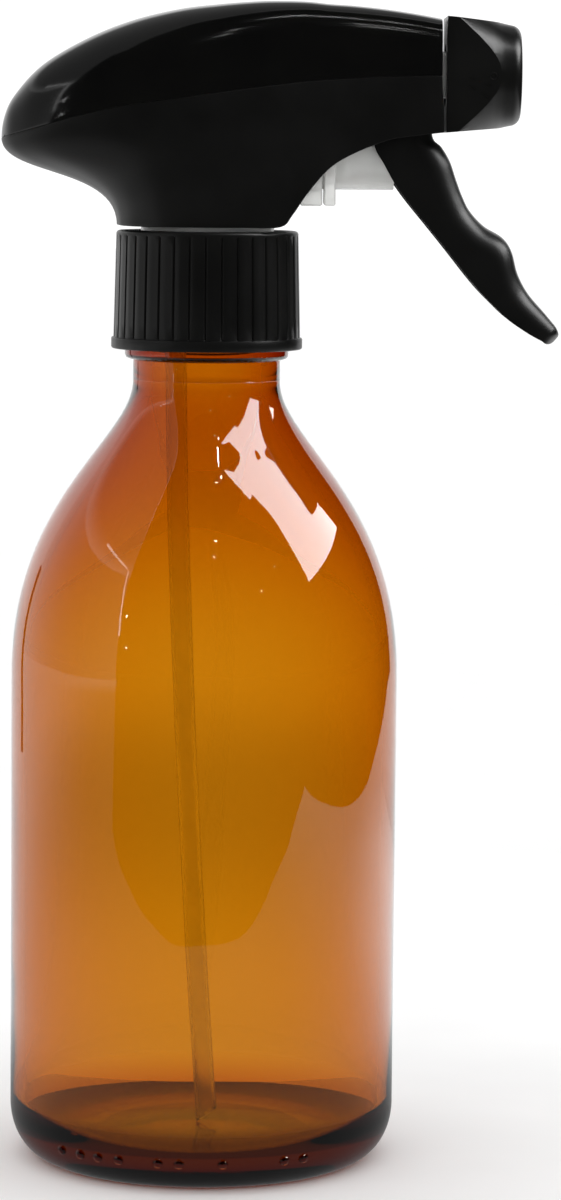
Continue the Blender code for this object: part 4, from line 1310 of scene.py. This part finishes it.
def softboxes():
    """A strip light bent over the right of the set, lamps, and the white panel's lit edges."""
    centre = Vector((AXIS_X, -0.01, 0.11))
    for i in range(3):
        corners = (STRIP_NEAR[i], STRIP_FAR[i], STRIP_FAR[i + 1], STRIP_NEAR[i + 1])
        card(f"strip_light_{i + 1}", [centre + Vector(c).normalized() for c in corners], 11.0)
    half = 5 * MM
    for i, (turn, up) in enumerate(LAMPS):
        flat, rise = math.cos(math.radians(up)), math.sin(math.radians(up))
        x, y, _ = heading(turn, flat)
        place = Vector((x, y, centre.z + rise))
        right = Vector((math.cos(math.radians(turn)), math.sin(math.radians(turn)), 0)) * half
        over = right.cross(Vector((x - AXIS_X, y, rise))).normalized() * half
        sides = (-right - over, right - over, right + over, over - right)
        card(f"lamp_{i + 1}", [place + side for side in sides], 90.0)
    low, high = 0.26, 0.7
    upright = [heading(-51, 1, low), heading(-52, 1, low), heading(-55, 1, high), heading(-54, 1, high)]
    card("panel_front_edge", upright, 5.0)
    top = [heading(-56, 1, 0.7), heading(-80, 1, 0.76), heading(-80, 1, 0.78), heading(-56, 1, 0.72)]
    card("panel_top_edge", top, 5.0)


def world():
    """Even white daylight from all round."""
    made = bpy.data.worlds.new("studio")
    bpy.context.scene.world = made
    made.use_nodes = True
    tree = made.node_tree
    tree.nodes.clear()
    sky = add(tree, "Background", Color=(1, 1, 1, 1), Strength=1.12)
    add(tree, "OutputWorld", Surface=sky.outputs[0])


def camera():
    """A long lens level with the neck, looking a little down at the bottle."""
    lens = bpy.data.cameras.new("camera")
    lens.lens = 124.5
    lens.sensor_width = 36
    lens.clip_end = 20
    eye = bpy.data.objects.new("camera", lens)
    bpy.context.scene.collection.objects.link(eye)
    tilt = Matrix.Rotation(math.radians(90 - 6.28), 4, "X")
    roll = Matrix.Rotation(math.radians(0.53), 4, "Z")
    eye.matrix_world = Matrix.Translation((AXIS_X + 12.75 * MM, -0.6949, 0.171)) @ tilt @ roll
    bpy.context.scene.camera = eye


def studio():
    """The floor, the cards that only the glass and the gloss show, the daylight and the camera."""
    white_floor()
    dark_room()
    shaded_sheet()
    panels()
    softboxes()
    world()
    camera()
    bpy.context.scene.view_settings.view_transform = "Standard"


make_bottle()
make_closure()
make_upper_shroud()
make_lower_shroud()
finish_trigger(make_trigger())
make_nozzle()
make_nozzle_marks()
make_nozzle_insert()
make_sprayer_body()
make_pump_cylinder()
make_return_spring()
make_dip_tube()
dress_inner_pieces()
studio()
